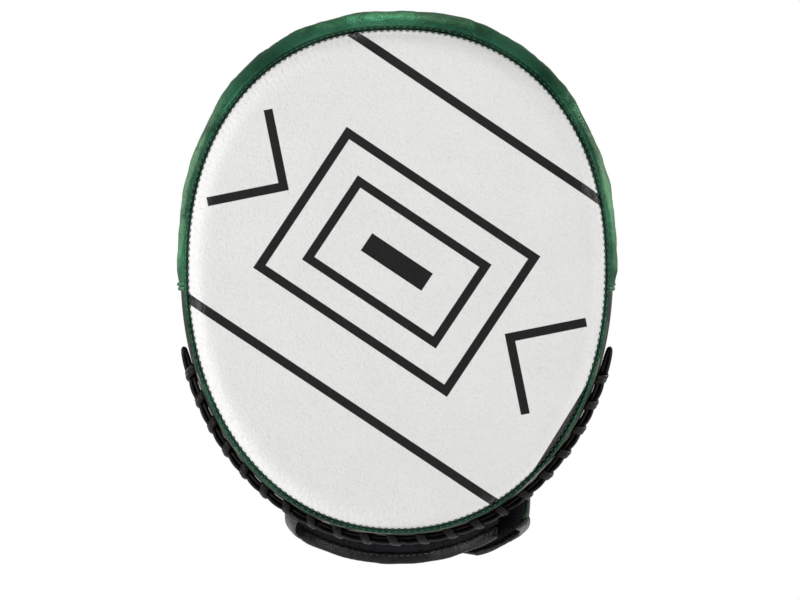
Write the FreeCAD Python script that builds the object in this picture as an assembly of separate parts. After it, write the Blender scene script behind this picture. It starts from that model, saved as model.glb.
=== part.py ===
import FreeCAD, Part
import math
import os
from FreeCAD import Vector

# A curved focus mitt for the left hand, in millimetres.  +Z is up, the striking face looks
# towards -Y, and the origin is the palm's centre on the palm-side surface of the back panel.

# Pad: layers bent about a level axis that lies in front of the face
PAD_THICKNESS = 48.0
BACK_RADIUS = 468.0
FACE_RADIUS = BACK_RADIUS - PAD_THICKNESS
BEND_Z = 70.0
BEND_Y = -math.sqrt(BACK_RADIUS ** 2 - BEND_Z ** 2)

# Pad outline: an egg with its narrow end down, which grows from the face to the back
FACE_HALF_WIDTH = 103.4
FACE_TOP_Z = 192.1
FACE_BOTTOM_Z = -52.9
WIDEST_Z = 75.0
UPPER_POWER = 2.22
LOWER_POWER = 2.1
OUTLINE_POINTS = 28
SIDE_FLARE = 0.148
TOP_FLARE = 0.282
BOTTOM_FLARE = 0.137
FACE_Y = BEND_Y + FACE_RADIUS
RIM_Y = BEND_Y + math.sqrt(FACE_RADIUS ** 2 - (FACE_TOP_Z - BEND_Z) ** 2)
BLOCK_FRONT_Y = -95.0
BLOCK_BACK_Y = 25.0
BLOCK_HALF_LENGTH = 200.0

# Leather, foam and the space between layers
LEATHER = 1.6
LAYER_GAP = 0.2
EDGE_ROUND = 9.0
FACE_COVER_DEPTH = 11.0
FACE_SEAM_RADIUS = FACE_RADIUS + FACE_COVER_DEPTH
IMPACT_FOAM_BACK = FACE_RADIUS + 16.0
CORE_FOAM_BACK = FACE_RADIUS + 32.0
BACK_PANEL_FRONT = BACK_RADIUS - LEATHER

# Edge trims
WELT_HALF = 1.3
WELT_PROUD = 2.3
GUSSET_SEAM_FRONT_GAP = 3.0
GUSSET_SEAM_BACK_GAP = 6.0
GUSSET_SEAM_SUNK = 0.5
GUSSET_SEAM_Z = 67.0
SEAM_LUMP_LEFT = 2.4
SEAM_LUMP_RIGHT = 1.7
BINDING_PROUD = 1.0
BINDING_LIP = 6.0
BINDING_WRAP = 5.0
BINDING_END_Z = 46.0

# Edge lace, a leather thong wound along the lower rim
LACE_RADIUS = 2.3
LACE_RIM_RADIUS = 463.0
LACE_PROUD = 2.9
LACE_START_DEG = 197.0
LACE_END_DEG = 343.0
LACE_POINTS = 19
ARC_SHARE = 0.45
KNOT_RADIUS = 4.4
KNOT_SUNK = 0.6
KNOT_PAST_DEG = 3.0

# Palm side
PALM_SIDE_REACH = 60.0
PALM_LINING_HALF_WIDTH = 44.0
PALM_LINING_BOTTOM_Z = -48.0
PALM_LINING_TOP_Z = 146.0
PALM_LINING_THICKNESS = 1.0
PALM_LINING_RADIUS = BACK_RADIUS + LAYER_GAP + PALM_LINING_THICKNESS
POCKET_BASE_GAP = 0.3
POCKET_BASE_RADIUS = PALM_LINING_RADIUS + POCKET_BASE_GAP
GRIP_Y = 2.5
GRIP_Z = 17.0
GRIP_HALF_WIDTH = 30.0
GRIP_HEIGHT = 15.0
GRIP_HALF_LENGTH = 17.0

# Finger hood and thumb sleeve, each a padded arch closed at its upper end
ARCH_POWER = 2.5
ARCH_POINTS = 11
ARCH_FOOT_Y = -30.0
CROWN_POWER = 3.0
CROWN_STEPS = [0.0, 0.3, 0.55, 0.75, 0.89, 0.96, 0.995]
HOOD_HALF_WIDTH = 50.0
HOOD_DEPTH = 43.0
HOOD_OPENING_Z = 38.0
HOOD_LENGTH = 122.0
HOOD_PADDING = 6.0
THUMB_HALF_WIDTH = 19.0
THUMB_DEPTH = 32.0
THUMB_X = -67.5
THUMB_OPENING_Z = 4.0
THUMB_LENGTH = 70.0
THUMB_LEAN_DEG = 15.0
THUMB_PADDING = 4.0
POCKET_LINING = 1.0
POCKET_BINDING = 4.0
POCKET_BINDING_PROUD = 0.8
POCKET_OPEN_CUT = 2.0

# Wrist cuff: a wing sewn at the left wraps behind the wrist, a strap sewn at the right closes it
CUFF_Y = 2.0
CUFF_HALF_WIDTH = 54.4
CUFF_HALF_DEPTH = 41.0
CUFF_FRONT_Y = -12.0
CUFF_TOP_Z = -8.0
CUFF_BOTTOM_Z = -77.0
CUFF_ROUND_RADIUS = 97.0
CUFF_BINDING = 6.0
CUFF_BINDING_PROUD = 0.7
WING_LINING = 1.0
WING_PADDING = 4.3
WING_END_X = 52.0
WING_OUTER = WING_LINING + WING_PADDING + LEATHER + 2 * LAYER_GAP
LOOP_THICKNESS = 1.2
LOOP_LEFT_X = -46.0
LOOP_RIGHT_X = 18.0
PATCH_GAP = 0.6
HOOK_THICKNESS = 1.2
HOOK_LEFT_X = -36.0
HOOK_RIGHT_X = 4.0
PATCH_TOP_Z = -26.0
PATCH_BOTTOM_Z = -54.0
STRAP_INNER = WING_OUTER + LOOP_THICKNESS + PATCH_GAP + HOOK_THICKNESS + 2 * LAYER_GAP
STRAP_LINING = 1.0
STRAP_LEATHER = 1.8
STRAP_END_X = -40.0
STRAP_BINDING = 3.0
STRAP_ROOT_TOP_Z = -12.0
STRAP_ROOT_BOTTOM_Z = -46.0
STRAP_END_TOP_Z = -20.0
STRAP_END_BOTTOM_Z = -60.0
STRAP_ROOT_REACH = 10.0
STRAP_CORNER_X = 61.5
STRAP_CORNER_Z = -63.5
STRAP_LOW_X = 42.0
STRAP_LOW_Z = -74.5
STRAP_TAB_LENGTH = 13.0
STRAP_TAB_HALF_HEIGHT = 13.0
STRAP_TAB_INSET = 0.4
ANCHOR_INNER_X = 55.0
ANCHOR_WIDTH = 19.0
ANCHOR_BOTTOM_Z = -34.0
CUFF_PAD_CLEARANCE = 0.5
CUFF_FRONT_RADIUS = BACK_RADIUS + LAYER_GAP + LEATHER + CUFF_PAD_CLEARANCE

FAR = 300.0
FACE_TOLERANCE = 0.05


def egg_point(angle, y, offset):
    """x and z of the outline at an angle, on the plane at depth y, moved outwards by offset."""
    half_width = FACE_HALF_WIDTH + SIDE_FLARE * (y - FACE_Y) + offset
    upper = FACE_TOP_Z + TOP_FLARE * (y - RIM_Y) + offset - WIDEST_Z
    lower = WIDEST_Z - FACE_BOTTOM_Z + BOTTOM_FLARE * (y - RIM_Y) + offset
    across = math.cos(angle)
    up = math.sin(angle)
    power = UPPER_POWER if up >= 0 else LOWER_POWER
    reach = upper if up >= 0 else lower
    x = half_width * math.copysign(abs(across) ** (2 / power), across)
    z = WIDEST_Z + reach * math.copysign(abs(up) ** (2 / power), up)
    return x, z


def egg_wire(y, offset):
    points = []
    for i in range(OUTLINE_POINTS):
        x, z = egg_point(2 * math.pi * i / OUTLINE_POINTS, y, offset)
        points.append(Vector(x, y, z))
    curve = Part.BSplineCurve()
    curve.interpolate(Points=points, PeriodicFlag=True)
    return Part.Wire([curve.toShape()])


def pad_block(offset):
    return Part.makeLoft([egg_wire(BLOCK_FRONT_Y, offset), egg_wire(BLOCK_BACK_Y, offset)], True, True)


def bend_cylinder(radius):
    start = Vector(-BLOCK_HALF_LENGTH, BEND_Y, BEND_Z)
    return Part.makeCylinder(radius, 2 * BLOCK_HALF_LENGTH, start, Vector(1, 0, 0))


def slab(front_radius, back_radius, offset):
    """A layer of the pad between two bend radii."""
    return pad_block(offset).common(bend_cylinder(back_radius)).cut(bend_cylinder(front_radius))


def rounded_slab(front_radius, back_radius, offset, rounding):
    """A layer whose front edge is rolled over."""
    layer = slab(front_radius, back_radius, offset)
    front_edges = []
    for edge in layer.Edges:
        points = edge.discretize(5)
        off_front = [abs(math.hypot(p.y - BEND_Y, p.z - BEND_Z) - front_radius) for p in points]
        if max(off_front) < FACE_TOLERANCE:
            front_edges.append(edge)
    return layer.makeFillet(rounding, front_edges)


def box(x0, x1, y0, y1, z0, z1):
    return Part.makeBox(x1 - x0, y1 - y0, z1 - z0, Vector(x0, y0, z0))


def above(z):
    return box(-FAR, FAR, -FAR, FAR, z, FAR)


def below(z):
    return box(-FAR, FAR, -FAR, FAR, -FAR, z)


def face_cover():
    inner_radius = FACE_RADIUS + LEATHER
    outer = rounded_slab(FACE_RADIUS, FACE_SEAM_RADIUS, 0.0, EDGE_ROUND)
    inner = rounded_slab(inner_radius, FACE_SEAM_RADIUS + LEATHER, -LEATHER, EDGE_ROUND - LEATHER)
    return outer.cut(inner)


def impact_foam():
    front = FACE_RADIUS + LEATHER + LAYER_GAP
    return rounded_slab(front, IMPACT_FOAM_BACK, -LEATHER - LAYER_GAP, EDGE_ROUND - LEATHER)


def core_foam():
    return slab(IMPACT_FOAM_BACK + LAYER_GAP, CORE_FOAM_BACK, -LEATHER - LAYER_GAP)


def back_foam():
    return slab(CORE_FOAM_BACK + LAYER_GAP, BACK_PANEL_FRONT - LAYER_GAP, -LEATHER - LAYER_GAP)


def gusset():
    """The side wall, from the face seam to the back panel, all the way round."""
    ring = slab(FACE_SEAM_RADIUS + LAYER_GAP, BACK_PANEL_FRONT - LAYER_GAP, 0.0)
    return ring.cut(pad_block(-LEATHER))


def gusset_seam(side, radius):
    """The turned seam that joins the two halves of the wall, a ridge across it."""
    ends = []
    for wall_radius in (FACE_SEAM_RADIUS + GUSSET_SEAM_FRONT_GAP, BACK_PANEL_FRONT - GUSSET_SEAM_BACK_GAP):
        y = BEND_Y + wall_radius
        wall_x = FACE_HALF_WIDTH + SIDE_FLARE * (y - FACE_Y) - GUSSET_SEAM_SUNK
        ends.append(Vector(side * wall_x, y, GUSSET_SEAM_Z))
    run = ends[1] - ends[0]
    return Part.makeCylinder(radius, run.Length, ends[0], run).cut(pad_block(LAYER_GAP))


def edge_welt():
    ring = slab(FACE_SEAM_RADIUS - WELT_HALF, FACE_SEAM_RADIUS + WELT_HALF, WELT_PROUD)
    return ring.cut(pad_block(LAYER_GAP))


def back_panel():
    return slab(BACK_PANEL_FRONT, BACK_RADIUS, 0.0)


def back_binding():
    """Folded leather strip over the back edge, from one lace end over the top to the other."""
    back = BACK_RADIUS + LAYER_GAP
    rim = slab(BACK_RADIUS - BINDING_WRAP, back + LEATHER, BINDING_PROUD + LAYER_GAP)
    rim = rim.cut(pad_block(-BINDING_LIP))
    rim = rim.cut(slab(BACK_RADIUS - 2 * BINDING_WRAP, back, LAYER_GAP))
    return rim.common(above(BINDING_END_Z))


def rim_point(degrees, radius, offset):
    """A point beside the rim: at an angle round the outline, on one bend radius."""
    y = BEND_Y + radius
    for _ in range(5):
        x, z = egg_point(math.radians(degrees), y, offset)
        y = BEND_Y + math.sqrt(radius ** 2 - (z - BEND_Z) ** 2)
    return Vector(x, y, z)


def rounded_path(points):
    """Straight runs joined by tangent arcs, each as large as its two runs allow."""
    edges = []
    last = points[0]
    for before, corner, after in zip(points, points[1:], points[2:]):
        arriving = (corner - before).normalize()
        leaving = (after - corner).normalize()
        half_turn = arriving.getAngle(leaving) / 2
        reach = ARC_SHARE * min(before.distanceToPoint(corner), corner.distanceToPoint(after))
        radius = reach / math.tan(half_turn)
        inwards = (leaving - arriving).normalize()
        start = corner - arriving * reach
        end = corner + leaving * reach
        middle = corner + inwards * (radius / math.cos(half_turn) - radius)
        edges.append(Part.LineSegment(last, start).toShape())
        edges.append(Part.Arc(start, middle, end).toShape())
        print("lace arc radius %.1f" % radius)
        last = end
    edges.append(Part.LineSegment(last, points[-1]).toShape())
    return Part.Wire(edges)


def lace_points():
    points = []
    for i in range(LACE_POINTS):
        degrees = LACE_START_DEG + (LACE_END_DEG - LACE_START_DEG) * i / (LACE_POINTS - 1)
        points.append(rim_point(degrees, LACE_RIM_RADIUS, LACE_PROUD))
    return points


def edge_lace():
    points = lace_points()
    path = rounded_path(points)
    circle = Part.Circle(points[0], points[1] - points[0], LACE_RADIUS)
    tube = path.makePipeShell([Part.Wire([circle.toShape()])], True, False)
    print("lace volume %.0f, section times length %.0f"
          % (tube.Volume, math.pi * LACE_RADIUS ** 2 * path.Length))
    return tube


def lace_knots():
    """The tucked ends of the thong, one at each end of the lacing."""
    knots = []
    for degrees in (LACE_START_DEG - KNOT_PAST_DEG, LACE_END_DEG + KNOT_PAST_DEG):
        knot = Part.makeSphere(KNOT_RADIUS, rim_point(degrees, LACE_RIM_RADIUS, KNOT_RADIUS - KNOT_SUNK))
        knots.append(knot.cut(pad_block(LAYER_GAP)).cut(edge_lace_room()))
    return Part.makeCompound(knots)


def edge_lace_room():
    """Room for the thong's two ends, slightly larger than the thong."""
    points = lace_points()
    room = None
    for end, inner in ((points[0], points[1]), (points[-1], points[-2])):
        run = inner - end
        piece = Part.makeCylinder(LACE_RADIUS + LAYER_GAP, run.Length, end, run)
        room = piece if room is None else room.fuse(piece)
    return room


def palm_lining():
    half = PALM_LINING_HALF_WIDTH
    patch = box(-half, half, -FAR, FAR, PALM_LINING_BOTTOM_Z + half, PALM_LINING_TOP_Z - half)
    for z in (PALM_LINING_BOTTOM_Z + half, PALM_LINING_TOP_Z - half):
        patch = patch.fuse(Part.makeCylinder(half, 2 * FAR, Vector(0, -FAR, z), Vector(0, 1, 0)))
    sheet = bend_cylinder(PALM_LINING_RADIUS).cut(bend_cylinder(BACK_RADIUS + LAYER_GAP))
    palm_side = box(-FAR, FAR, -PALM_SIDE_REACH, PALM_SIDE_REACH, -FAR, FAR)
    return sheet.common(patch.removeSplitter()).common(palm_side)


def grip_dome(extra):
    """A low dome under the palm, grown by extra on every side."""
    stretch = FreeCAD.Matrix()
    stretch.scale(GRIP_HALF_WIDTH + extra, GRIP_HEIGHT + extra, GRIP_HALF_LENGTH + extra)
    dome = Part.makeSphere(1.0).transformGeometry(stretch)
    dome.translate(Vector(0, GRIP_Y, GRIP_Z))
    return dome.cut(bend_cylinder(POCKET_BASE_RADIUS))


def palm_grip_foam():
    return grip_dome(-LEATHER - LAYER_GAP)


def palm_grip_cover():
    return grip_dome(0.0).cut(grip_dome(-LEATHER))


def arch_wire(half_width, depth, z):
    """A closed arch in a level plane: a squarish crown over a straight foot."""
    points = []
    for i in range(ARCH_POINTS):
        angle = math.pi * i / (ARCH_POINTS - 1)
        across = math.cos(angle)
        x = half_width * math.copysign(abs(across) ** (2 / ARCH_POWER), across)
        points.append(Vector(x, depth * abs(math.sin(angle)) ** (2 / ARCH_POWER), z))
    crown = Part.BSplineCurve()
    crown.interpolate(points)
    foot_right = Vector(half_width, ARCH_FOOT_Y, z)
    foot_left = Vector(-half_width, ARCH_FOOT_Y, z)
    return Part.Wire([crown.toShape(),
                      Part.LineSegment(points[-1], foot_left).toShape(),
                      Part.LineSegment(foot_left, foot_right).toShape(),
                      Part.LineSegment(foot_right, points[0]).toShape()])


def pocket_form(half_width, depth, length, inset, below_opening):
    """A solid arch that closes over its upper end, inset on every side but the opening."""
    wires = []
    if below_opening:
        wires.append(arch_wire(half_width - inset, depth - inset, -below_opening))
    for step in CROWN_STEPS:
        fullness = (1 - step ** CROWN_POWER) ** (1 / CROWN_POWER)
        across = (half_width - inset) * fullness
        wires.append(arch_wire(across, (depth - inset) * fullness, (length - inset) * step))
    return Part.makeLoft(wires, True, False)


def pocket_layer(size, inset, thickness):
    outer = pocket_form(*size, inset, 0.0)
    return outer.cut(pocket_form(*size, inset + thickness, POCKET_OPEN_CUT))


def pocket_rim(size, depth_of_layers):
    """The binding that closes the edge of a pocket's layers."""
    half_width, depth, _ = size
    proud = POCKET_BINDING_PROUD
    outer = Part.Face(arch_wire(half_width + proud, depth + proud, 0)).extrude(Vector(0, 0, POCKET_BINDING))
    inset = depth_of_layers + proud
    inner = Part.Face(arch_wire(half_width - inset, depth - inset, 0)).extrude(Vector(0, 0, POCKET_BINDING))
    rim = outer.cut(inner)
    rim.translate(Vector(0, 0, -POCKET_BINDING - LAYER_GAP))
    return rim


def placed_hood(shape):
    shape.translate(Vector(0, 0, HOOD_OPENING_Z))
    return shape.cut(bend_cylinder(POCKET_BASE_RADIUS))


def placed_thumb(shape):
    shape.rotate(Vector(0, 0, 0), Vector(0, 1, 0), -THUMB_LEAN_DEG)
    shape.translate(Vector(THUMB_X, 0, THUMB_OPENING_Z))
    return shape.cut(bend_cylinder(POCKET_BASE_RADIUS))


def pocket_pieces(name, size, padding, place):
    """The four pieces of a padded pocket: cover, foam, lining and rim binding."""
    padding_inset = LEATHER + LAYER_GAP
    lining_inset = padding_inset + padding + LAYER_GAP
    return {
        name + "_shell": place(pocket_layer(size, 0.0, LEATHER)),
        name + "_padding": place(pocket_layer(size, padding_inset, padding)),
        name + "_lining": place(pocket_layer(size, lining_inset, POCKET_LINING)),
        name + "_binding": place(pocket_rim(size, lining_inset + POCKET_LINING)),
    }


def oval(grow):
    """An upright oval column, the cuff's inner surface grown by a thickness."""
    ellipse = Part.Ellipse(Vector(0, 0, 0), CUFF_HALF_WIDTH + grow, CUFF_HALF_DEPTH + grow)
    face = Part.Face(Part.Wire([ellipse.toShape()]))
    column = face.extrude(Vector(0, 0, 2 * FAR))
    column.translate(Vector(0, CUFF_Y, -FAR))
    return column


def cuff_round(shrink):
    """A barrel along Y whose lower side is the curved lower edge of the cuff."""
    radius = CUFF_ROUND_RADIUS
    start = Vector(0, -FAR, CUFF_BOTTOM_Z + radius)
    return Part.makeCylinder(radius - shrink, 2 * FAR, start, Vector(0, 1, 0))


def cuff_band(inside, thickness):
    """Part of the oval wall behind the wrist, clear of the pad."""
    wall = oval(inside + thickness).cut(oval(inside))
    return wall.cut(bend_cylinder(CUFF_FRONT_RADIUS)).cut(box(-FAR, FAR, -FAR, CUFF_FRONT_Y, -FAR, FAR))


def wing_reach():
    """Where the wing lies: from its sewn root at the left to its free end at the right."""
    back = box(-FAR, WING_END_X, CUFF_Y, FAR, -FAR, CUFF_TOP_Z)
    root = box(-FAR, 0.0, -FAR, CUFF_Y, -FAR, CUFF_TOP_Z)
    return back.fuse(root).removeSplitter()


def wing_layer(inside, thickness):
    trimmed = cuff_band(inside, thickness).common(wing_reach())
    trimmed = trimmed.common(cuff_round(CUFF_BINDING + LAYER_GAP))
    return trimmed.cut(above(CUFF_TOP_Z - CUFF_BINDING - LAYER_GAP))


def wing_binding():
    """Leather strips folded over the wing's lower and upper edges."""
    proud = CUFF_BINDING_PROUD
    band = cuff_band(-proud, WING_OUTER - LAYER_GAP + 2 * proud).common(wing_reach())
    lower = band.common(cuff_round(0.0)).cut(cuff_round(CUFF_BINDING))
    lower = lower.cut(above(CUFF_TOP_Z - 2 * CUFF_BINDING))
    upper = band.common(box(-FAR, FAR, -FAR, FAR, CUFF_TOP_Z - CUFF_BINDING, CUFF_TOP_Z))
    return Part.makeCompound([lower, upper])


def patch_area(left_x, right_x):
    return box(left_x, right_x, CUFF_Y, FAR, PATCH_BOTTOM_Z, PATCH_TOP_Z)


def loop_patch():
    return cuff_band(WING_OUTER, LOOP_THICKNESS).common(patch_area(LOOP_LEFT_X, LOOP_RIGHT_X))


def hook_patch():
    inside = STRAP_INNER - HOOK_THICKNESS - LAYER_GAP
    return cuff_band(inside, HOOK_THICKNESS).common(patch_area(HOOK_LEFT_X, HOOK_RIGHT_X))


def strap_outline(shrink):
    """The strap seen from behind: tall at its root on the right, narrower at its free end."""
    root_x = CUFF_HALF_WIDTH + STRAP_INNER + STRAP_ROOT_REACH
    root_top = Vector(root_x, 0, STRAP_ROOT_TOP_Z - shrink)
    end_top = Vector(STRAP_END_X + shrink, 0, STRAP_END_TOP_Z - shrink)
    end_bottom = Vector(STRAP_END_X + shrink, 0, STRAP_END_BOTTOM_Z + shrink)
    low = Vector(STRAP_LOW_X - shrink / 2, 0, STRAP_LOW_Z + shrink)
    corner = Vector(STRAP_CORNER_X - shrink / 2, 0, STRAP_CORNER_Z + shrink)
    root_bottom = Vector(root_x, 0, STRAP_ROOT_BOTTOM_Z + shrink)
    outline = Part.Wire([Part.LineSegment(root_top, end_top).toShape(),
                         Part.LineSegment(end_top, end_bottom).toShape(),
                         Part.LineSegment(end_bottom, low).toShape(),
                         Part.Arc(low, corner, root_bottom).toShape(),
                         Part.LineSegment(root_bottom, root_top).toShape()])
    reach = Part.Face(outline).extrude(Vector(0, 2 * FAR, 0))
    reach.translate(Vector(0, CUFF_Y - FAR, 0))
    return reach.cut(box(-FAR, 0.0, -FAR, CUFF_Y, -FAR, FAR))


def strap_layer(inside, thickness):
    return cuff_band(inside, thickness).common(strap_outline(STRAP_BINDING + LAYER_GAP))


def strap_binding():
    """Leather strip folded over the strap's edges."""
    proud = CUFF_BINDING_PROUD / 2
    thickness = STRAP_LINING + LAYER_GAP + STRAP_LEATHER + 2 * proud
    band = cuff_band(STRAP_INNER - proud, thickness)
    return band.common(strap_outline(0.0)).cut(strap_outline(STRAP_BINDING))


def strap_tab():
    """The pull tab that stands past the strap's free end."""
    middle = (STRAP_END_TOP_Z + STRAP_END_BOTTOM_Z) / 2
    half = STRAP_TAB_HALF_HEIGHT
    far_end = STRAP_END_X - STRAP_TAB_LENGTH
    reach = box(far_end, STRAP_END_X - LAYER_GAP, CUFF_Y, FAR, middle - half, middle + half)
    thickness = STRAP_LINING + STRAP_LEATHER - STRAP_TAB_INSET
    return cuff_band(STRAP_INNER + STRAP_TAB_INSET, thickness).common(reach)


def anchor(side):
    """A leather strip sewn to the back panel, to which a cuff piece is hinged."""
    sheet = bend_cylinder(BACK_RADIUS + LAYER_GAP + LEATHER).cut(bend_cylinder(BACK_RADIUS + LAYER_GAP))
    near = side * ANCHOR_INNER_X
    far = side * (ANCHOR_INNER_X + ANCHOR_WIDTH)
    area = box(min(near, far), max(near, far), -PALM_SIDE_REACH, PALM_SIDE_REACH, ANCHOR_BOTTOM_Z, CUFF_TOP_Z)
    return sheet.common(area).common(pad_block(-LEATHER))


def export(name, shape):
    if not shape.isValid():
        raise ValueError(name + " is not a valid solid")
    print("%-20s solids %d volume %.0f" % (name, len(shape.Solids), shape.Volume))
    shape.exportStep("parts/" + name + ".step")


def pad_pieces():
    wall = gusset()
    return {
        "face_cover": face_cover(),
        "impact_foam": impact_foam(),
        "core_foam": core_foam(),
        "back_foam": back_foam(),
        "edge_welt": edge_welt(),
        "upper_gusset": wall.common(above(GUSSET_SEAM_Z + LAYER_GAP / 2)),
        "lower_gusset": wall.common(below(GUSSET_SEAM_Z - LAYER_GAP / 2)),
        "gusset_seam_left": gusset_seam(-1, SEAM_LUMP_LEFT),
        "gusset_seam_right": gusset_seam(1, SEAM_LUMP_RIGHT),
        "back_panel": back_panel(),
        "back_binding": back_binding(),
        "edge_lace": edge_lace(),
        "lace_knots": lace_knots(),
        "palm_lining": palm_lining(),
        "palm_grip_foam": palm_grip_foam(),
        "palm_grip_cover": palm_grip_cover(),
        "wing_anchor": anchor(-1),
        "strap_anchor": anchor(1),
    }


def cuff_pieces():
    padding_inside = WING_LINING + LAYER_GAP
    shell_inside = padding_inside + WING_PADDING + LAYER_GAP
    return {
        "wing_lining": wing_layer(0.0, WING_LINING),
        "wing_padding": wing_layer(padding_inside, WING_PADDING),
        "wing_shell": wing_layer(shell_inside, LEATHER - LAYER_GAP),
        "wing_binding": wing_binding(),
        "loop_patch": loop_patch(),
        "strap_lining": strap_layer(STRAP_INNER, STRAP_LINING),
        "strap_shell": strap_layer(STRAP_INNER + STRAP_LINING + LAYER_GAP, STRAP_LEATHER),
        "strap_binding": strap_binding(),
        "hook_patch": hook_patch(),
        "strap_tab": strap_tab(),
    }


def main():
    os.makedirs("parts", exist_ok=True)
    hood_size = (HOOD_HALF_WIDTH, HOOD_DEPTH, HOOD_LENGTH)
    thumb_size = (THUMB_HALF_WIDTH, THUMB_DEPTH, THUMB_LENGTH)
    pieces = pad_pieces()
    pieces.update(pocket_pieces("hood", hood_size, HOOD_PADDING, placed_hood))
    pieces.update(pocket_pieces("thumb", thumb_size, THUMB_PADDING, placed_thumb))
    pieces.update(cuff_pieces())
    for name, shape in pieces.items():
        export(name, shape)


main()
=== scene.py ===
import math

import bmesh
import bpy
import numpy as np
from bpy.props import FloatProperty, FloatVectorProperty, IntProperty, PointerProperty
from mathutils import Matrix, Vector, noise
from mathutils.bvhtree import BVHTree


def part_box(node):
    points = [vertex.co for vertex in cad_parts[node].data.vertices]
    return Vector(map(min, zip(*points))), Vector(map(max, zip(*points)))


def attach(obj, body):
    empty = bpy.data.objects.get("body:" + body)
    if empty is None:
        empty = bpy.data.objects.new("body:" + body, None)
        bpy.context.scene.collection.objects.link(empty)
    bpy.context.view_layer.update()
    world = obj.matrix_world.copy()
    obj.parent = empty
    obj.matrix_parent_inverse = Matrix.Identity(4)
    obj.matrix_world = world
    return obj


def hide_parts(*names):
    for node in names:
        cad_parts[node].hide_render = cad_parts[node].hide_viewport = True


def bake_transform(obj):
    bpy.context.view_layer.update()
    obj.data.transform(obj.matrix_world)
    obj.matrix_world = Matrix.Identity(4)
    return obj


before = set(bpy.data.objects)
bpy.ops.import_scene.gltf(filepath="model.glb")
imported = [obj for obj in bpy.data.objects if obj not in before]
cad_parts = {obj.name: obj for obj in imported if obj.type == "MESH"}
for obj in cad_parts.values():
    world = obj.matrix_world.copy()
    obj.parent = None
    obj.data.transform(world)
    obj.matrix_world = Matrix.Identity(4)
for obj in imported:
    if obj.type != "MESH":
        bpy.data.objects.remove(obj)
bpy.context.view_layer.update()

bl_info = {
    "name": "Curved focus mitt",
    "version": (1, 0, 0),
    "blender": (4, 5, 0),
    "location": "View3D > Sidebar > Mitt",
    "description": "Builds the leather, foam, lace and cuff of a curved focus mitt round its frame",
    "category": "Object",
}

HOOD_LOW, HOOD_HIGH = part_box("hood_shell")
HOOD_REACH = HOOD_HIGH.z - HOOD_LOW.z
HOOD_HALF = (HOOD_HIGH.x - HOOD_LOW.x) / 2
THUMB_LOW, THUMB_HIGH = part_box("thumb_shell")
GRIP_LOW, GRIP_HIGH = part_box("palm_grip_cover")
WING_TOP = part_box("wing_shell")[1].z
TAB_LOW, TAB_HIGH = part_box("strap_tab")
REARWARDS = (0.0, 1.0, 0.0)


# ---------------------------------------------------------------- what a user would change

def length(name, description, default):
    return FloatProperty(name=name, description=description, default=default, unit="LENGTH", precision=4)


def share(name, description, default):
    return FloatProperty(name=name, description=description, default=default)


def colour(name, description, default):
    return FloatVectorProperty(name=name, description=description, default=default,
                               subtype="COLOR", size=3, min=0.0, max=1.0)


class MittPad(bpy.types.PropertyGroup):
    face_half_width: length("Face half width", "From the middle to the seam at the widest place", 0.1034)
    face_top: length("Face top", "Height of the face seam at the top", 0.1921)
    face_bottom: length("Face bottom", "Height of the face seam at the bottom", -0.0529)
    widest_z: length("Widest height", "Height at which the face is widest", 0.075)
    upper_power: share("Upper fullness", "Squareness of the upper outline", 2.22)
    lower_power: share("Lower fullness", "Squareness of the lower outline", 2.1)
    side_flare: share("Side flare", "Growth of the width with depth", 0.148)
    top_flare: share("Top flare", "Growth of the top with depth", 0.282)
    bottom_flare: share("Bottom flare", "Growth of the bottom with depth", 0.137)
    face_radius: length("Face bend", "Bend radius of the face", 0.420)
    seam_radius: length("Seam bend", "Bend radius at the face seam", 0.431)
    back_radius: length("Back bend", "Bend radius of the palm side", 0.468)
    bend_z: length("Bend height", "Height of the bend axis", 0.070)
    edge_round: length("Edge round", "Radius of the face's rolled edge", 0.009)
    wall_seam_z: length("Wall seam height", "Where the wall's two halves are joined", 0.067)


class MittThread(bpy.types.PropertyGroup):
    stitch_pitch: length("Stitch pitch", "From one stitch to the next", 0.0032)
    stitch_length: length("Stitch length", "Visible length of one stitch", 0.0022)
    stitch_width: length("Stitch width", "Thickness of the thread", 0.00075)
    lace_units: IntProperty(name="Lace units", description="Knots along the lower edge", default=20)


class MittColours(bpy.types.PropertyGroup):
    white: colour("Face", "White leather", (0.715, 0.71, 0.70))
    ink: colour("Print", "Black print on the face", (0.0045, 0.0045, 0.004))
    green: colour("Wall", "Pearl green leather", (0.040, 0.155, 0.088))
    # Painted shade: the green leather is darkened towards this colour in the low parts of its folds.
    green_painted_crease_shade: colour("Wall shade", "Green leather in its creases", (0.013, 0.062, 0.034))
    olive: colour("Camo olive", "Middle tone of the camo leather", (0.075, 0.095, 0.062))
    forest: colour("Camo green", "Dark green of the camo leather", (0.016, 0.038, 0.020))
    tan: colour("Camo tan", "Pale tone of the camo leather", (0.36, 0.32, 0.28))
    dark: colour("Camo black", "Darkest tone of the camo leather", (0.010, 0.011, 0.008))
    black: colour("Black leather", "Lace, cuff and trims", (0.0062, 0.0052, 0.0046))
    mesh: colour("Mesh", "Lining fabric", (0.0065, 0.0063, 0.0080))
    thread: colour("Thread", "Green sewing thread", (0.004, 0.045, 0.022))
    foam: colour("Foam", "Foam layers", (0.35, 0.35, 0.33))


class MittStage(bpy.types.PropertyGroup):
    camera_distance: length("Camera distance", "From the palm's plane to the camera", 2.4)
    camera_height: length("Camera height", "Height of the level camera", 0.060)
    camera_across: length("Camera across", "Sideways place of the camera", 0.0016)
    lens: FloatProperty(name="Lens", description="Focal length", default=212.0, unit="CAMERA")
    floor_z: length("Floor height", "Height of the pale floor", -0.30)


# ---------------------------------------------------------------- the pad's outline

def pad():
    return bpy.context.scene.mitt_pad


def bend_y():
    return -math.sqrt(pad().back_radius ** 2 - pad().bend_z ** 2)


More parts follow.
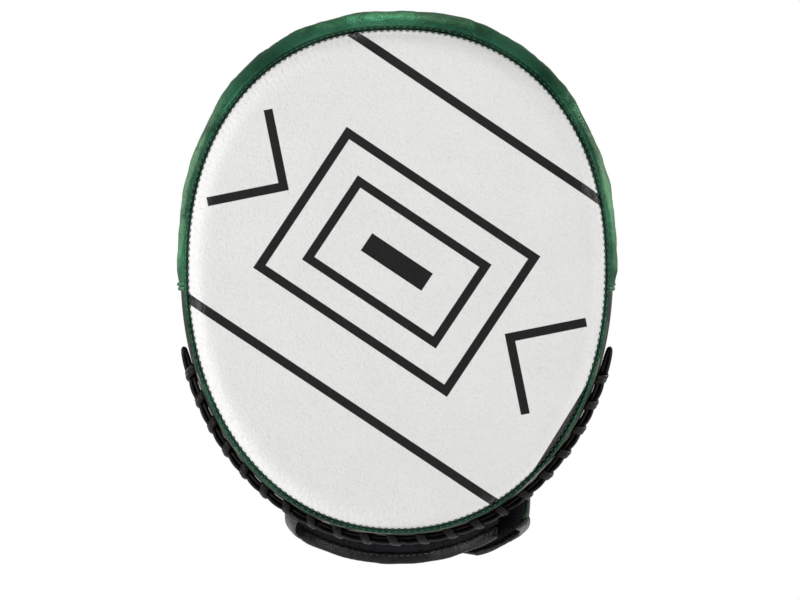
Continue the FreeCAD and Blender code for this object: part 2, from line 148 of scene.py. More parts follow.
def egg(angles, y, offset):
    """x and z of the pad's outline at each angle, at depth y, moved outwards by offset."""
    p = pad()
    face_y = bend_y() + p.face_radius
    rim_y = bend_y() + math.sqrt(p.face_radius ** 2 - (p.face_top - p.bend_z) ** 2)
    across, up = np.cos(angles), np.sin(angles)
    half_width = p.face_half_width + p.side_flare * (y - face_y) + offset
    upper = p.face_top + p.top_flare * (y - rim_y) + offset - p.widest_z
    lower = p.widest_z - p.face_bottom + p.bottom_flare * (y - rim_y) + offset
    power = np.where(up >= 0, p.upper_power, p.lower_power)
    reach = np.where(up >= 0, upper, lower)
    x = half_width * np.sign(across) * np.abs(across) ** (2 / power)
    z = p.widest_z + reach * np.sign(up) * np.abs(up) ** (2 / power)
    return x, z


def rim(angles, radius, offset, scale=1.0):
    """Points beside the outline on a bend radius. scale draws them in towards the middle."""
    p = pad()
    angles = np.asarray(angles, float)
    radius = radius + np.zeros_like(angles)
    y = bend_y() + radius
    for _ in range(5):
        x, z = egg(angles, y, offset)
        y = bend_y() + np.sqrt(radius ** 2 - (z - p.bend_z) ** 2)
    x = x * scale
    z = p.widest_z + (z - p.widest_z) * scale
    y = bend_y() + np.sqrt(radius ** 2 - (z - p.bend_z) ** 2)
    return np.stack([x, y, z], axis=1)


def even_angles(count, radius, offset, start=0.0, end=360.0, closed=True):
    """Angles, in radians, that are evenly spaced along the rim."""
    fine = np.radians(np.linspace(start, end, 2881))
    steps = np.linalg.norm(np.diff(rim(fine, radius, offset), axis=0), axis=1)
    along = np.concatenate([[0.0], np.cumsum(steps)])
    wanted = np.linspace(0.0, along[-1], count, endpoint=not closed)
    return np.interp(wanted, along, fine)


def rim_length(radius, offset, start=0.0, end=360.0):
    points = rim(np.radians(np.linspace(start, end, 2881)), radius, offset)
    return float(np.linalg.norm(np.diff(points, axis=0), axis=1).sum())


def angle_at(z, side, radius, offset):
    """The angle, in degrees, at which the rim passes a height on one side."""
    degrees = np.linspace(-90.0, 90.0, 3601)
    heights = rim(np.radians(degrees), radius, offset)[:, 2]
    found = float(degrees[np.argmin(np.abs(heights - z))])
    return found if side > 0 else 180.0 - found


# ---------------------------------------------------------------- meshes

def chain(bm, points, closed):
    """A line of vertices joined by edges."""
    verts = [bm.verts.new(point) for point in points]
    pairs = list(zip(verts, verts[1:]))
    if closed:
        pairs.append((verts[-1], verts[0]))
    return [bm.edges.new(pair) for pair in pairs]


def woven(bm, lines, closed_along, closed_round):
    """A skin over lines of points, each joined to the next. An open tube's ends are filled."""
    chains = [chain(bm, line, closed_along) for line in lines]
    pairs = list(zip(chains, chains[1:]))
    if closed_round:
        pairs.append((chains[-1], chains[0]))
    for one, other in pairs:
        bmesh.ops.bridge_loops(bm, edges=one + other)
    if closed_round and not closed_along:
        ends = [edge for edge in bm.edges if edge.is_boundary]
        bmesh.ops.holes_fill(bm, edges=ends, sides=len(lines))


def rim_shell(bm, angles, lines, under_radius, scales, under_scales, inset):
    """A closed sheet across the pad: its rim lines, and its two skins drawn in to the middle."""
    rings = [rim(angles, under_radius, -inset, scale) for scale in reversed(under_scales)]
    rings.append(rim(angles, under_radius, -inset))
    rings += [rim(angles, radius, offset) for offset, radius in lines]
    rings += [rim(angles, lines[-1][1], -inset, scale) for scale in scales]
    woven(bm, rings, True, False)
    middles = [edge for edge in bm.edges if edge.is_boundary]
    bmesh.ops.holes_fill(bm, edges=middles, sides=len(angles))
    bmesh.ops.triangulate(bm, faces=[face for face in bm.faces if len(face.verts) > 4])


def tube(bm, points, outwards, half_out, half_side, sides=8):
    """A cord of oval section along points, wide half_out along outwards and half_side across."""
    points = np.asarray(points, float)
    tangents = np.gradient(points, axis=0)
    tangents /= np.linalg.norm(tangents, axis=1)[:, None]
    outwards = np.broadcast_to(np.asarray(outwards, float), points.shape)
    outwards = outwards - (outwards * tangents).sum(1)[:, None] * tangents
    outwards /= np.linalg.norm(outwards, axis=1)[:, None]
    across = np.cross(tangents, outwards)
    half_out = np.broadcast_to(half_out, (len(points),))[:, None]
    half_side = np.broadcast_to(half_side, (len(points),))[:, None]
    lines = []
    for i in range(sides):
        turn = 2 * math.pi * i / sides
        lines.append(points + outwards * half_out * math.cos(turn) + across * half_side * math.sin(turn))
    woven(bm, lines, False, True)


def stitches(bm, points, outwards, size=None):
    """One thread stitch at each point, lying along the line of points."""
    thread = bpy.context.scene.mitt_thread
    long, wide = size or (thread.stitch_length, thread.stitch_width)
    points = np.asarray(points, float)
    tangents = np.gradient(points, axis=0)
    outwards = np.broadcast_to(np.asarray(outwards, float), points.shape)
    for point, tangent, out in zip(points, tangents, outwards):
        along = Vector(tangent).normalized()
        out = (Vector(out) - along * Vector(out).dot(along)).normalized()
        side = along.cross(out)
        turn = Matrix((along, side, out)).transposed().to_4x4()
        place = Matrix.Translation(Vector(point)) @ turn @ Matrix.Diagonal((long / 2, wide / 2, wide / 2, 1))
        bmesh.ops.create_uvsphere(bm, u_segments=6, v_segments=4, radius=1.0, matrix=place)


def piece(name, bm, finish, body="pad", replaces=()):
    """Makes the mesh an object that rides on a body and stands for CAD nodes."""
    bmesh.ops.recalc_face_normals(bm, faces=bm.faces)
    mesh = bpy.data.meshes.new(name)
    bm.to_mesh(mesh)
    bm.free()
    return finished(name, mesh, finish, body, replaces)


def linked(name, data):
    obj = bpy.data.objects.new(name, data)
    bpy.context.collection.objects.link(obj)
    return obj


def finished(name, mesh, finish, body="pad", replaces=()):
    """The same for a mesh that is already made. A piece given no body is attached to none."""
    mesh.shade_smooth()
    mesh.materials.append(stuff(finish))
    obj = linked(name, mesh)
    if body:
        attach(obj, body)
    if replaces:
        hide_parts(*replaces)
    return obj


def sewn(name, rows, size=None, body="pad", finish="black_thread"):
    """One piece of thread for some rows of stitches. Each row is its points and what lies outwards there."""
    bm = bmesh.new()
    for points, outwards in rows:
        stitches(bm, points, outwards, size)
    return piece(name, bm, finish, body)


def baked(obj):
    """The object's mesh with its modifiers applied."""
    bpy.context.view_layer.update()
    evaluated = obj.evaluated_get(bpy.context.evaluated_depsgraph_get())
    return bpy.data.meshes.new_from_object(evaluated)


def coordinates(mesh):
    found = np.empty(len(mesh.vertices) * 3)
    mesh.vertices.foreach_get("co", found)
    return found.reshape(-1, 3)


def normals(mesh):
    found = np.empty(len(mesh.vertices) * 3, np.float32)
    mesh.vertex_normals.foreach_get("vector", found)
    return found.reshape(-1, 3).astype(float)


def put_coordinates(mesh, points):
    mesh.vertices.foreach_set("co", np.asarray(points, float).reshape(-1))
    mesh.update()


FORM_REGAIN = 0.25
SAME_POINT = 1e-6


def soft_form(nodes, voxel, rounding=4):
    """An evenly divided closed mesh of some CAD nodes, its corners softened."""
    bm = bmesh.new()
    for node in nodes:
        bm.from_mesh(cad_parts[node].data)
    bmesh.ops.remove_doubles(bm, verts=bm.verts, dist=SAME_POINT)
    mesh = bpy.data.meshes.new("form")
    bm.to_mesh(mesh)
    bm.free()
    form = linked("form", mesh)
    remesh = form.modifiers.new("even", "REMESH")
    remesh.mode = "VOXEL"
    remesh.voxel_size = voxel
    even = baked(form)
    bpy.data.objects.remove(form)
    bm = bmesh.new()
    bm.from_mesh(even)
    for _ in range(rounding):
        bmesh.ops.smooth_vert(bm, verts=bm.verts, factor=0.5, use_axis_x=True, use_axis_y=True, use_axis_z=True)
    bm.to_mesh(even)
    bm.free()
    put_coordinates(even, coordinates(even) + normals(even) * voxel * FORM_REGAIN)
    return even


def sheet_form(node, longest=0.006):
    """A merged copy of a thin CAD node, divided finely enough to bend."""
    bm = bmesh.new()
    bm.from_mesh(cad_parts[node].data)
    bmesh.ops.remove_doubles(bm, verts=bm.verts, dist=SAME_POINT)
    for _ in range(4):
        long_edges = [edge for edge in bm.edges if edge.calc_length() > longest]
        if long_edges:
            bmesh.ops.subdivide_edges(bm, edges=long_edges, cuts=1)
            bmesh.ops.triangulate(bm, faces=[face for face in bm.faces if len(face.verts) > 4])
    mesh = bpy.data.meshes.new("sheet")
    bm.to_mesh(mesh)
    bm.free()
    return mesh


def swollen(mesh, held, pressure, reach, frames=20):
    """The mesh after its free cloth has swollen with the foam under it. held is 1 where it's sewn down."""
    start = coordinates(mesh)
    form = linked("swell", mesh)
    group = form.vertex_groups.new(name="held")
    for level in (0.25, 0.5, 0.75, 1.0):
        chosen = np.nonzero(held >= level - 0.125)[0]
        group.add([int(i) for i in chosen], level, "REPLACE")
    cloth = form.modifiers.new("swell", "CLOTH")
    cloth.settings.use_pressure = True
    cloth.settings.uniform_pressure_force = pressure
    cloth.settings.effector_weights.gravity = 0.0
    cloth.settings.tension_stiffness = 25.0
    cloth.settings.compression_stiffness = 25.0
    cloth.settings.bending_stiffness = 1.5
    cloth.settings.quality = 6
    cloth.settings.vertex_group_mass = "held"
    cloth.point_cache.frame_start = 1
    cloth.point_cache.frame_end = frames
    scene = bpy.context.scene
    for number in range(1, frames + 1):
        scene.frame_set(number)
    result = baked(form)
    bpy.data.objects.remove(form)
    scene.frame_set(1)
    moved = coordinates(result) - start
    far = np.linalg.norm(moved, axis=1)
    moved *= (np.minimum(far, reach) / np.maximum(far, 1e-9))[:, None]
    put_coordinates(result, start + moved)
    return result


def subdivided(mesh):
    bm = bmesh.new()
    bm.from_mesh(mesh)
    bmesh.ops.subdivide_edges(bm, edges=bm.edges, cuts=1, use_grid_fill=True, smooth=0.6)
    bm.to_mesh(mesh)
    bm.free()
    return mesh


def wrinkled(mesh, size, depth, stretch=(1, 1, 1)):
    """Soft leather creases pressed into a mesh along its normals."""
    points = coordinates(mesh)
    lift = [noise.noise(Vector(point) * Vector(stretch) / size) for point in points]
    put_coordinates(mesh, points + normals(mesh) * (np.array(lift) * depth)[:, None])


FAR_BEHIND = 0.12
THREAD_LIFT = 0.0001


def surface_of(obj):
    return BVHTree.FromObject(obj, bpy.context.evaluated_depsgraph_get())


def dropped(surface, places):
    """Points just off a surface, seen from far behind at some x and z, and its normals there."""
    points, outwards = [], []
    for x, z in places:
        hit, normal, _, _ = surface.ray_cast(Vector((x, FAR_BEHIND, z)), -Vector(REARWARDS))
        if hit is not None:
            points.append(hit + normal * THREAD_LIFT)
            outwards.append(normal)
    return points, outwards


def spaced(points, pitch):
    """Points evenly spaced along a line."""
    points = np.asarray(points, float)
    steps = np.linalg.norm(np.diff(points, axis=0), axis=1)
    along = np.concatenate([[0.0], np.cumsum(steps)])
    count = max(2, int(along[-1] / pitch) + 1)
    wanted = np.linspace(0.0, along[-1], count)
    return np.stack([np.interp(wanted, along, points[:, i]) for i in range(3)], axis=1)


# ---------------------------------------------------------------- materials

class Recipe:
    """A material in the making. Textures are laid on Object coordinates."""

    def __init__(self, name, base, roughness, **settings):
        self.material = bpy.data.materials.new(name)
        self.material.use_nodes = True
        self.tree = self.material.node_tree
        self.shader = self.tree.nodes["Principled BSDF"]
        self.shader.inputs["Roughness"].default_value = roughness
        for socket, value in settings.items():
            self.shader.inputs[socket.replace("_", " ")].default_value = value
        self.place = self.node("ShaderNodeTexCoord").outputs["Object"]
        self.feed(self.shader.inputs["Base Color"], base)
        self.relief = None

    def feed(self, socket, value):
        if isinstance(value, bpy.types.NodeSocket):
            self.tree.links.new(value, socket)
        elif hasattr(value, "__len__") and len(socket.default_value) == 4:
            socket.default_value = (*value, 1.0)
        else:
            socket.default_value = value

    def node(self, kind, inputs=None, **settings):
        made = self.tree.nodes.new(kind)
        for name, value in settings.items():
            setattr(made, name, value)
        for name, value in (inputs or {}).items():
            self.feed(made.inputs[name], value)
        return made

    def stretched(self, scale, location=(0, 0, 0)):
        inputs = {"Vector": self.place, "Scale": scale, "Location": location}
        return self.node("ShaderNodeMapping", inputs).outputs["Vector"]

    def noise(self, scale, detail=3.0, distortion=0.0, vector=None):
        inputs = {"Vector": vector or self.place, "Scale": scale, "Detail": detail, "Distortion": distortion}
        return self.node("ShaderNodeTexNoise", inputs).outputs["Fac"]

    def cells(self, scale, randomness=1.0):
        inputs = {"Vector": self.place, "Scale": scale, "Randomness": randomness}
        return self.node("ShaderNodeTexVoronoi", inputs).outputs["Distance"]

    def waves(self, scale, direction, distortion):
        inputs = {"Vector": self.place, "Scale": scale, "Distortion": distortion}
        return self.node("ShaderNodeTexWave", inputs, bands_direction=direction).outputs["Fac"]

    def maths(self, operation, one, other):
        made = self.node("ShaderNodeMath", operation=operation)
        for socket, value in zip(made.inputs, (one, other)):
            self.feed(socket, value)
        return made.outputs[0]

    def between(self, value, low, high, to_low=0.0, to_high=1.0):
        inputs = {"Value": value, "From Min": low, "From Max": high, "To Min": to_low, "To Max": to_high}
        return self.node("ShaderNodeMapRange", inputs, clamp=True).outputs["Result"]

    def mixed(self, share, one, other):
        made = self.node("ShaderNodeMix", data_type="RGBA")
        self.feed(made.inputs["Factor"], share)
        self.feed(made.inputs[6], one)
        self.feed(made.inputs[7], other)
        return made.outputs[2]

    def colour(self, value):
        self.feed(self.shader.inputs["Base Color"], value)

    def rough(self, share, low, high):
        self.feed(self.shader.inputs["Roughness"], self.between(share, 0.0, 1.0, low, high))
        return self

    def bump(self, height, distance):
        """Adds a relief, distance deep, on top of those already there."""
        inputs = {"Height": height, "Distance": distance, "Strength": 1.0}
        if self.relief:
            inputs["Normal"] = self.relief
        self.relief = self.node("ShaderNodeBump", inputs).outputs["Normal"]
        self.feed(self.shader.inputs["Normal"], self.relief)


def tones():
    return bpy.context.scene.mitt_colours


def times(colour, share):
    """A colour made darker or lighter, at most full."""
    return [min(1.0, c * share) for c in colour]


def grain(recipe, size, depth):
    """Leather's pebbled grain: small cells with soft pores between them."""
    cells = recipe.cells(1 / size)
    fine = recipe.noise(2.2 / size, 2.0)
    recipe.bump(recipe.maths("ADD", cells, recipe.maths("MULTIPLY", fine, 0.6)), depth)
    return cells


def creases(recipe, size, depth, stretch=(1, 1, 1)):
    """Shallow folds of leather drawn over foam."""
    folds = recipe.noise(1 / size, 2.0, 0.8, recipe.stretched(stretch))
    recipe.bump(folds, depth)
    return folds


STROKE_HALF_WIDTH = 0.00225
BAR_HALF_WIDTH = 0.0052
WEDGE_HALF_WIDTH = 0.0300
INK_EDGE = 0.00008
PRINT_LEAN = math.radians(33.7)
PRINT_MIDDLE = (0.000, 0.079)


def leaning(along, up):
    """A place in the print's leaning frame, as x and z."""
    cos, sin = math.cos(PRINT_LEAN), math.sin(PRINT_LEAN)
    return PRINT_MIDDLE[0] + along * cos + up * sin, PRINT_MIDDLE[1] - along * sin + up * cos


def print_strokes():
    """The face's line print: (start, end, half width) of each stroke."""
    strokes = [((-0.0215, 0.1922), (0.1080, 0.1058), STROKE_HALF_WIDTH),
               ((-0.1085, 0.0635), (0.0540, -0.0442), STROKE_HALF_WIDTH)]
    for half_along, half_up in ((0.056, 0.040), (0.038, 0.023)):
        corners = [leaning(a * half_along, u * half_up) for a, u in ((-1, -1), (1, -1), (1, 1), (-1, 1))]
        for one, other in zip(corners, corners[1:] + corners[:1]):
            strokes.append((one, other, STROKE_HALF_WIDTH))
    strokes.append((leaning(-0.016, 0.0), leaning(0.016, 0.0), BAR_HALF_WIDTH))
    for side in (-1, 1):
        tip = leaning(side * 0.068, 0.0)
        for up in (-1, 1):
            strokes.append((tip, leaning(side * 0.094, up * 0.026), STROKE_HALF_WIDTH))
    strokes.append(((0.1288, 0.0150), (0.0810, -0.0612), WEDGE_HALF_WIDTH))
    return strokes


def stroke_group():
    """Signed distance to a square-ended bar in the face's plane, below 0 inside."""
    group = bpy.data.node_groups.new("stroke", "ShaderNodeTree")
    for name in ("Place", "Middle", "Along", "Across", "Half Length", "Half Width"):
        kind = "NodeSocketFloat" if name.startswith("Half") else "NodeSocketVector"
        group.interface.new_socket(name, in_out="INPUT", socket_type=kind)
    group.interface.new_socket("Distance", in_out="OUTPUT", socket_type="NodeSocketFloat")
    given = group.nodes.new("NodeGroupInput").outputs

    def step(kind, operation, sources, result="Value"):
        made = group.nodes.new(kind)
        made.operation = operation
        for source, socket in zip(sources, made.inputs):
            group.links.new(source, socket)
        return made.outputs[result]

    offset = step("ShaderNodeVectorMath", "SUBTRACT", (given["Place"], given["Middle"]), "Vector")
    reaches = []
    for axis, half in (("Along", "Half Length"), ("Across", "Half Width")):
        dot = step("ShaderNodeVectorMath", "DOT_PRODUCT", (offset, given[axis]))
        size = step("ShaderNodeMath", "ABSOLUTE", (dot,))
        reaches.append(step("ShaderNodeMath", "SUBTRACT", (size, given[half])))
    farthest = step("ShaderNodeMath", "MAXIMUM", reaches)
    group.links.new(farthest, group.nodes.new("NodeGroupOutput").inputs["Distance"])
    return group


def print_mask(recipe):
    """1 where the face is printed, 0 where it's bare."""
    group = stroke_group()
    nearest = None
    for (x0, z0), (x1, z1), half_width in print_strokes():
        reach = math.hypot(x1 - x0, z1 - z0)
        along = ((x1 - x0) / reach, 0.0, (z1 - z0) / reach)
        bar = recipe.node("ShaderNodeGroup", node_tree=group)
        values = {"Place": recipe.place, "Middle": ((x0 + x1) / 2, 0.0, (z0 + z1) / 2),
                  "Along": along, "Across": (along[2], 0.0, -along[0]),
                  "Half Length": reach / 2 + min(half_width, STROKE_HALF_WIDTH), "Half Width": half_width}
        for name, value in values.items():
            recipe.feed(bar.inputs[name], value)
        distance = bar.outputs["Distance"]
        nearest = distance if nearest is None else recipe.maths("MINIMUM", nearest, distance)
    return recipe.between(nearest, INK_EDGE, -INK_EDGE)


def white_leather():
    t = tones()
    recipe = Recipe("white_leather", t.white, 0.40, Specular_IOR_Level=0.28)
    soft = recipe.noise(28, 3.0)
    bare = recipe.mixed(recipe.between(soft, 0.3, 0.75), times(t.white, 0.965), t.white)
    mask = print_mask(recipe)
    cells = grain(recipe, 0.0011, 0.00020)
    pored = recipe.mixed(recipe.between(cells, 0.50, 0.90, 0.0, 0.45), bare, times(t.white, 0.82))
    recipe.colour(recipe.mixed(mask, pored, t.ink))
    creases(recipe, 0.05, 0.0011)
    creases(recipe, 0.0018, 0.00028, (1, 1, 0.4))
    recipe.bump(mask, 0.00003)
    return recipe.rough(recipe.maths("ADD", recipe.maths("MULTIPLY", mask, 0.35), soft), 0.42, 0.30).material


def green_leather(name="green_leather", share=1.0):
    """Pearl green leather. share darkens it, as painted shade: the seam bead is a darker copy that stands for
    the shade in the seam's valley.
    """
    t = tones()
    green = times(t.green, share)
    recipe = Recipe(name, green, 0.36, Metallic=0.62, Specular_IOR_Level=0.2,
                    Specular_Tint=(0.16, 0.42, 0.26, 1.0))
    folds = creases(recipe, 0.030, 0.0022, (1, 0.35, 1))
    # Painted shade: the colour darkens towards the wall shade colour in the low parts of the folds that also
    # make the crease bump.
    shade = recipe.mixed(recipe.between(folds, 0.36, 0.62), times(t.green_painted_crease_shade, share), green)
    cells = grain(recipe, 0.0009, 0.00016)
    flecks = recipe.noise(1500, 1.0)
    pearl = recipe.between(flecks, 0.60, 0.78, 0.0, 0.30)
    recipe.colour(recipe.mixed(pearl, shade, times(green, 3.2)))
    creases(recipe, 0.006, 0.00035, (1, 0.5, 1))
    return recipe.rough(cells, 0.24, 0.38).material


def camo_leather(name, location, tan_share=0.60, share=1.0, specular=0.22):
    """Printed camouflage leather. location slides the pattern on a piece, and share darkens it: a darker copy
    is painted shade.
    """
    t = tones()
    olive, forest, dark, tan = (times(tone, share) for tone in (t.olive, t.forest, t.dark, t.tan))
    recipe = Recipe(name, olive, 0.46, Specular_IOR_Level=specular)
    spots = []
    for scale, low in ((34, 0.50), (46, 0.56), (40, tan_share)):
        slid = recipe.stretched((1, 1, 1), [c + scale * 0.013 for c in location])
        found = recipe.noise(scale, 1.5, 0.9, slid)
        spots.append(recipe.between(found, low, low + 0.006))
    mixed = recipe.mixed(spots[0], olive, forest)
    mixed = recipe.mixed(spots[1], mixed, dark)
    mixed = recipe.mixed(spots[2], mixed, tan)
    cells = grain(recipe, 0.0011, 0.00018)
    worn = recipe.between(cells, 0.5, 0.95, 0.0, 0.28)
    recipe.colour(recipe.mixed(worn, mixed, dark))
    creases(recipe, 0.018, 0.0007)
    return recipe.rough(cells, 0.38, 0.56).material


def black_leather(name="black_leather", shine=0.36, crease=0.0006, worn_share=4.2, specular=0.26):
    t = tones()
    recipe = Recipe(name, t.black, shine, Specular_IOR_Level=specular)
    worn = recipe.between(recipe.noise(260, 3.0), 0.52, 0.80, 0.0, 0.5)
    recipe.colour(recipe.mixed(worn, times(t.black, min(1.0, worn_share / 4)), times(t.black, worn_share)))
    cells = grain(recipe, 0.0008, 0.00014)
    creases(recipe, 0.008, crease)
    return recipe.rough(cells, shine - 0.06, shine + 0.14).material


def mesh_fabric():
    """Knitted spacer mesh: a honeycomb of small holes."""
    t = tones()
    recipe = Recipe("black_mesh", t.mesh, 0.85, Specular_IOR_Level=0.2)
    holes = recipe.cells(620, randomness=0.12)
    thread = recipe.noise(4200, 1.0)
    open_share = recipe.between(holes, 0.16, 0.34, 1.0, 0.0)
    recipe.colour(recipe.mixed(open_share, times(t.mesh, 1.8), times(t.mesh, 0.25)))
    recipe.bump(recipe.maths("SUBTRACT", recipe.maths("MULTIPLY", thread, 0.25), open_share), 0.0005)
    return recipe.material


def loop_fabric():
    t = tones()
    recipe = Recipe("loop_fabric", t.black, 0.95, Sheen_Weight=0.15, Specular_IOR_Level=0.15)
    curls = recipe.noise(2600, 3.0, 2.0)
    recipe.colour(recipe.mixed(recipe.between(curls, 0.35, 0.75), t.black, times(t.black, 4.5)))
    recipe.bump(curls, 0.0006)
    return recipe.material


def hook_tape():
    t = tones()
    recipe = Recipe("hook_tape", t.black, 0.45, Specular_IOR_Level=0.3)
    hooks = recipe.cells(900, randomness=0.0)
    recipe.colour(recipe.mixed(recipe.between(hooks, 0.2, 0.5), times(t.black, 3), t.black))
    recipe.bump(recipe.between(hooks, 0.18, 0.42, 1.0, 0.0), 0.0007)
    return recipe.material


def rubber():
    t = tones()
    recipe = Recipe("strap_rubber", times(t.black, 1.4), 0.55, Specular_IOR_Level=0.3)
    recipe.bump(recipe.noise(3000, 2.0), 0.00008)
    dust = recipe.noise(120, 3.0)
    recipe.colour(recipe.mixed(recipe.between(dust, 0.5, 0.8, 0.0, 0.4), t.black, times(t.black, 3)))
    return recipe.rough(dust, 0.5, 0.7).material


def foam(name, shade):
    base = times(tones().foam, shade)
    recipe = Recipe(name, base, 0.92)
    pores = recipe.cells(900)
    recipe.colour(recipe.mixed(recipe.between(pores, 0.0, 0.35), times(base, 0.5), base))
    recipe.bump(pores, 0.0004)
    return recipe.material


def thread(name, base):
    recipe = Recipe(name, base, 0.42, Sheen_Weight=0.3)
    twist = recipe.waves(700, "DIAGONAL", 1.0)
    recipe.colour(recipe.mixed(twist, times(base, 0.45), times(base, 1.6)))
    recipe.bump(twist, 0.0001)
    return recipe.material


def make_materials():
    t = tones()
    return {
        "white": white_leather(),
        "green": green_leather(),
        # The bead's leather is a darker copy of the green leather: painted shade of the seam's valley.
        "bead": green_leather("bead_leather_shaded", 0.42),
        "camo": camo_leather("camo_leather", (0.0, 0.0, 0.0)),
        # The lower wall's camo is a darker copy of the camo leather: painted shade on the narrow wall strip
        # beside the bead.
        "camo_wall": camo_leather("camo_wall_leather_shaded", (0.031, 0.012, 0.047), 0.66, 0.55, 0.03),
        "camo_hood": camo_leather("camo_hood_leather", (0.113, 0.052, 0.027)),
        "camo_strap": camo_leather("camo_strap_leather", (0.213, 0.152, 0.127), 0.70),
        "black": black_leather(),
        "lace": black_leather("lace_leather", 0.36, 0.0003, 2.0, 0.11),
        "rim": black_leather("rim_leather", 0.27, 0.0007),
        "mesh": mesh_fabric(),
        "loop": loop_fabric(),
        "hook": hook_tape(),
        "rubber": rubber(),
        "dense_foam": foam("dense_foam", 0.25),
        "soft_foam": foam("soft_foam", 1.0),
        "green_thread": thread("green_thread", t.thread),
        "black_thread": thread("black_thread", (0.022, 0.021, 0.020)),
    }


MATERIALS = {}


def stuff(name):
    """The material of that name. All are made the first time that one is asked for."""
    if not MATERIALS:
        MATERIALS.update(make_materials())
    return MATERIALS[name]


def paint(node, name):
    """Gives a CAD node one material."""
    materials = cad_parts[node].data.materials
    materials.clear()
    materials.append(stuff(name))


# ---------------------------------------------------------------- the pad

FACE_RING = 960
LEATHER = 0.0016
FACE_INSETS = (0.0, 0.0006, 0.0014, 0.0025, 0.0038, 0.0052, 0.0068, 0.009, 0.012)
FACE_SCALES = (0.93, 0.85, 0.75, 0.64, 0.52, 0.40, 0.28, 0.16, 0.06)
FACE_UNDER_SCALES = (0.93, 0.75, 0.4, 0.06)
FACE_WAVE = 0.0005
SEAM_PUCKER = 0.00022


class MITT_OT_face(bpy.types.Operator):
    """White leather face, rolled over the foam's edge to the seam"""
    bl_idname = "mitt.face"
    bl_label = "Face leather"

    def execute(self, context):
        p = pad()
        count = int(rim_length(p.seam_radius, 0.0) / context.scene.mitt_thread.stitch_pitch)
        angles = even_angles(FACE_RING, p.seam_radius, 0.0)
        pulls = np.cos(np.arange(FACE_RING) * 2 * math.pi * count / FACE_RING)
        swell = np.array([noise.noise(Vector((math.cos(a) * 9, math.sin(a) * 9, 3.3))) for a in angles])
        lines = [(-LEATHER, p.seam_radius - 0.0010), (-LEATHER, p.seam_radius + 0.0004),
                 (-0.0004, p.seam_radius + 0.0004)]
        for inset in FACE_INSETS:
            roll = p.edge_round - min(inset, p.edge_round)
            depth = p.edge_round - math.sqrt(max(0.0, p.edge_round ** 2 - roll ** 2))
            fade = max(0.0, 1 - inset / 0.006)
            broad = min(1.0, inset / 0.004) * (1 - inset / FACE_INSETS[-1])
            drawn = SEAM_PUCKER * fade * pulls + FACE_WAVE * swell * broad
            lines.append((-inset, p.face_radius + depth + drawn))
        bm = bmesh.new()
        rim_shell(bm, angles, lines, p.face_radius + LEATHER, FACE_SCALES, FACE_UNDER_SCALES, FACE_INSETS[-1])
        face = piece("face_leather", bm, "white", replaces=["face_cover"])
        return {"FINISHED"}


def rim_tube(bm, angles, radius, offset, half_depth, half_out, sides, closed):
    """A cord along the rim, of oval section in its depth and outward directions."""
    lines = []
    for i in range(sides):
        turn = 2 * math.pi * i / sides
        lines.append(rim(angles, radius + half_depth * math.cos(turn), offset + half_out * math.sin(turn)))
    woven(bm, lines, closed, True)


def rim_row(angles, radius, offset):
    """A row of stitches along the rim, facing forwards and outwards."""
    points = rim(angles, radius, offset)
    return points, rim(angles, radius - 0.0007, offset + 0.0010) - points


class MITT_OT_seam(bpy.types.Operator):
    """Green seam bead round the face, with its row of stitches"""
    bl_idname = "mitt.seam"
    bl_label = "Face seam"

    def execute(self, context):
        p = pad()
        pitch = context.scene.mitt_thread.stitch_pitch
        count = int(rim_length(p.seam_radius, 0.0) / pitch)
        angles = even_angles(count * 4, p.seam_radius, 0.0)
        pulls = np.cos(np.arange(count * 4) * math.pi / 2)
        bm = bmesh.new()
        rim_tube(bm, angles, p.seam_radius + 0.0002, 0.0010, 0.00135, 0.00115 + 0.00010 * pulls, 10, True)
        # The bead takes the darker green copy, which is painted shade of the seam's valley.
        piece("seam_bead", bm, "bead", replaces=["edge_welt"])
        for name, first, inset, offset, size in (("seam_stitches", 0, 0.0036, 0.0001, (0.0021, 0.0007)),
                                                 ("bead_stitches", 2, 0.00115, 0.0012, (0.0014, 0.0006))):
            row = rim_row(angles[first::4], p.seam_radius - inset, offset)
            sewn(name, [row], size, finish="green_thread")
        return {"FINISHED"}


# Each section is a ring of (bend radius, distance outwards from the outline), and FREE its unsewn stretch.
UPPER_SECTION = ((0.4319, 0.0004), (0.4328, 0.0020), (0.4350, 0.0036), (0.4390, 0.0049), (0.4450, 0.0054),
                 (0.4520, 0.0049), (0.4590, 0.0036), (0.4640, 0.0022), (0.4676, 0.0006), (0.4692, -0.0010),
                 (0.4697, -0.0030), (0.4695, -0.0056), (0.4687, -0.0070), (0.4682, -0.0058), (0.4681, 0.0000),
                 (0.4664, 0.0001), (0.4655, -0.0006), (0.4320, -0.0006))
UPPER_FREE = (2, 11)
LOWER_SECTION = ((0.4319, 0.0004), (0.4330, 0.0009), (0.4370, 0.0011), (0.4430, 0.0012), (0.4500, 0.0010),
                 (0.4560, 0.0006), (0.4600, 0.0002), (0.4660, 0.0001), (0.4658, -0.0009), (0.4320, -0.0006))
LOWER_FREE = (2, 5)
WALL_RADIUS = 0.450
WALL_PITCH = 0.0016


def fullness(points):
    """How full the roll is: most at the top, less at the sides, drawn in at its sewn ends."""
    p = pad()
    height = (points[:, 2] - p.widest_z) / (p.face_top - p.widest_z)
    near_end = np.clip((points[:, 2] - p.wall_seam_z) / 0.008, 0.0, 1.0)
    return (0.72 + 0.28 * np.clip(height, 0.0, 1.0)) * (0.45 + 0.55 * near_end ** 0.6)


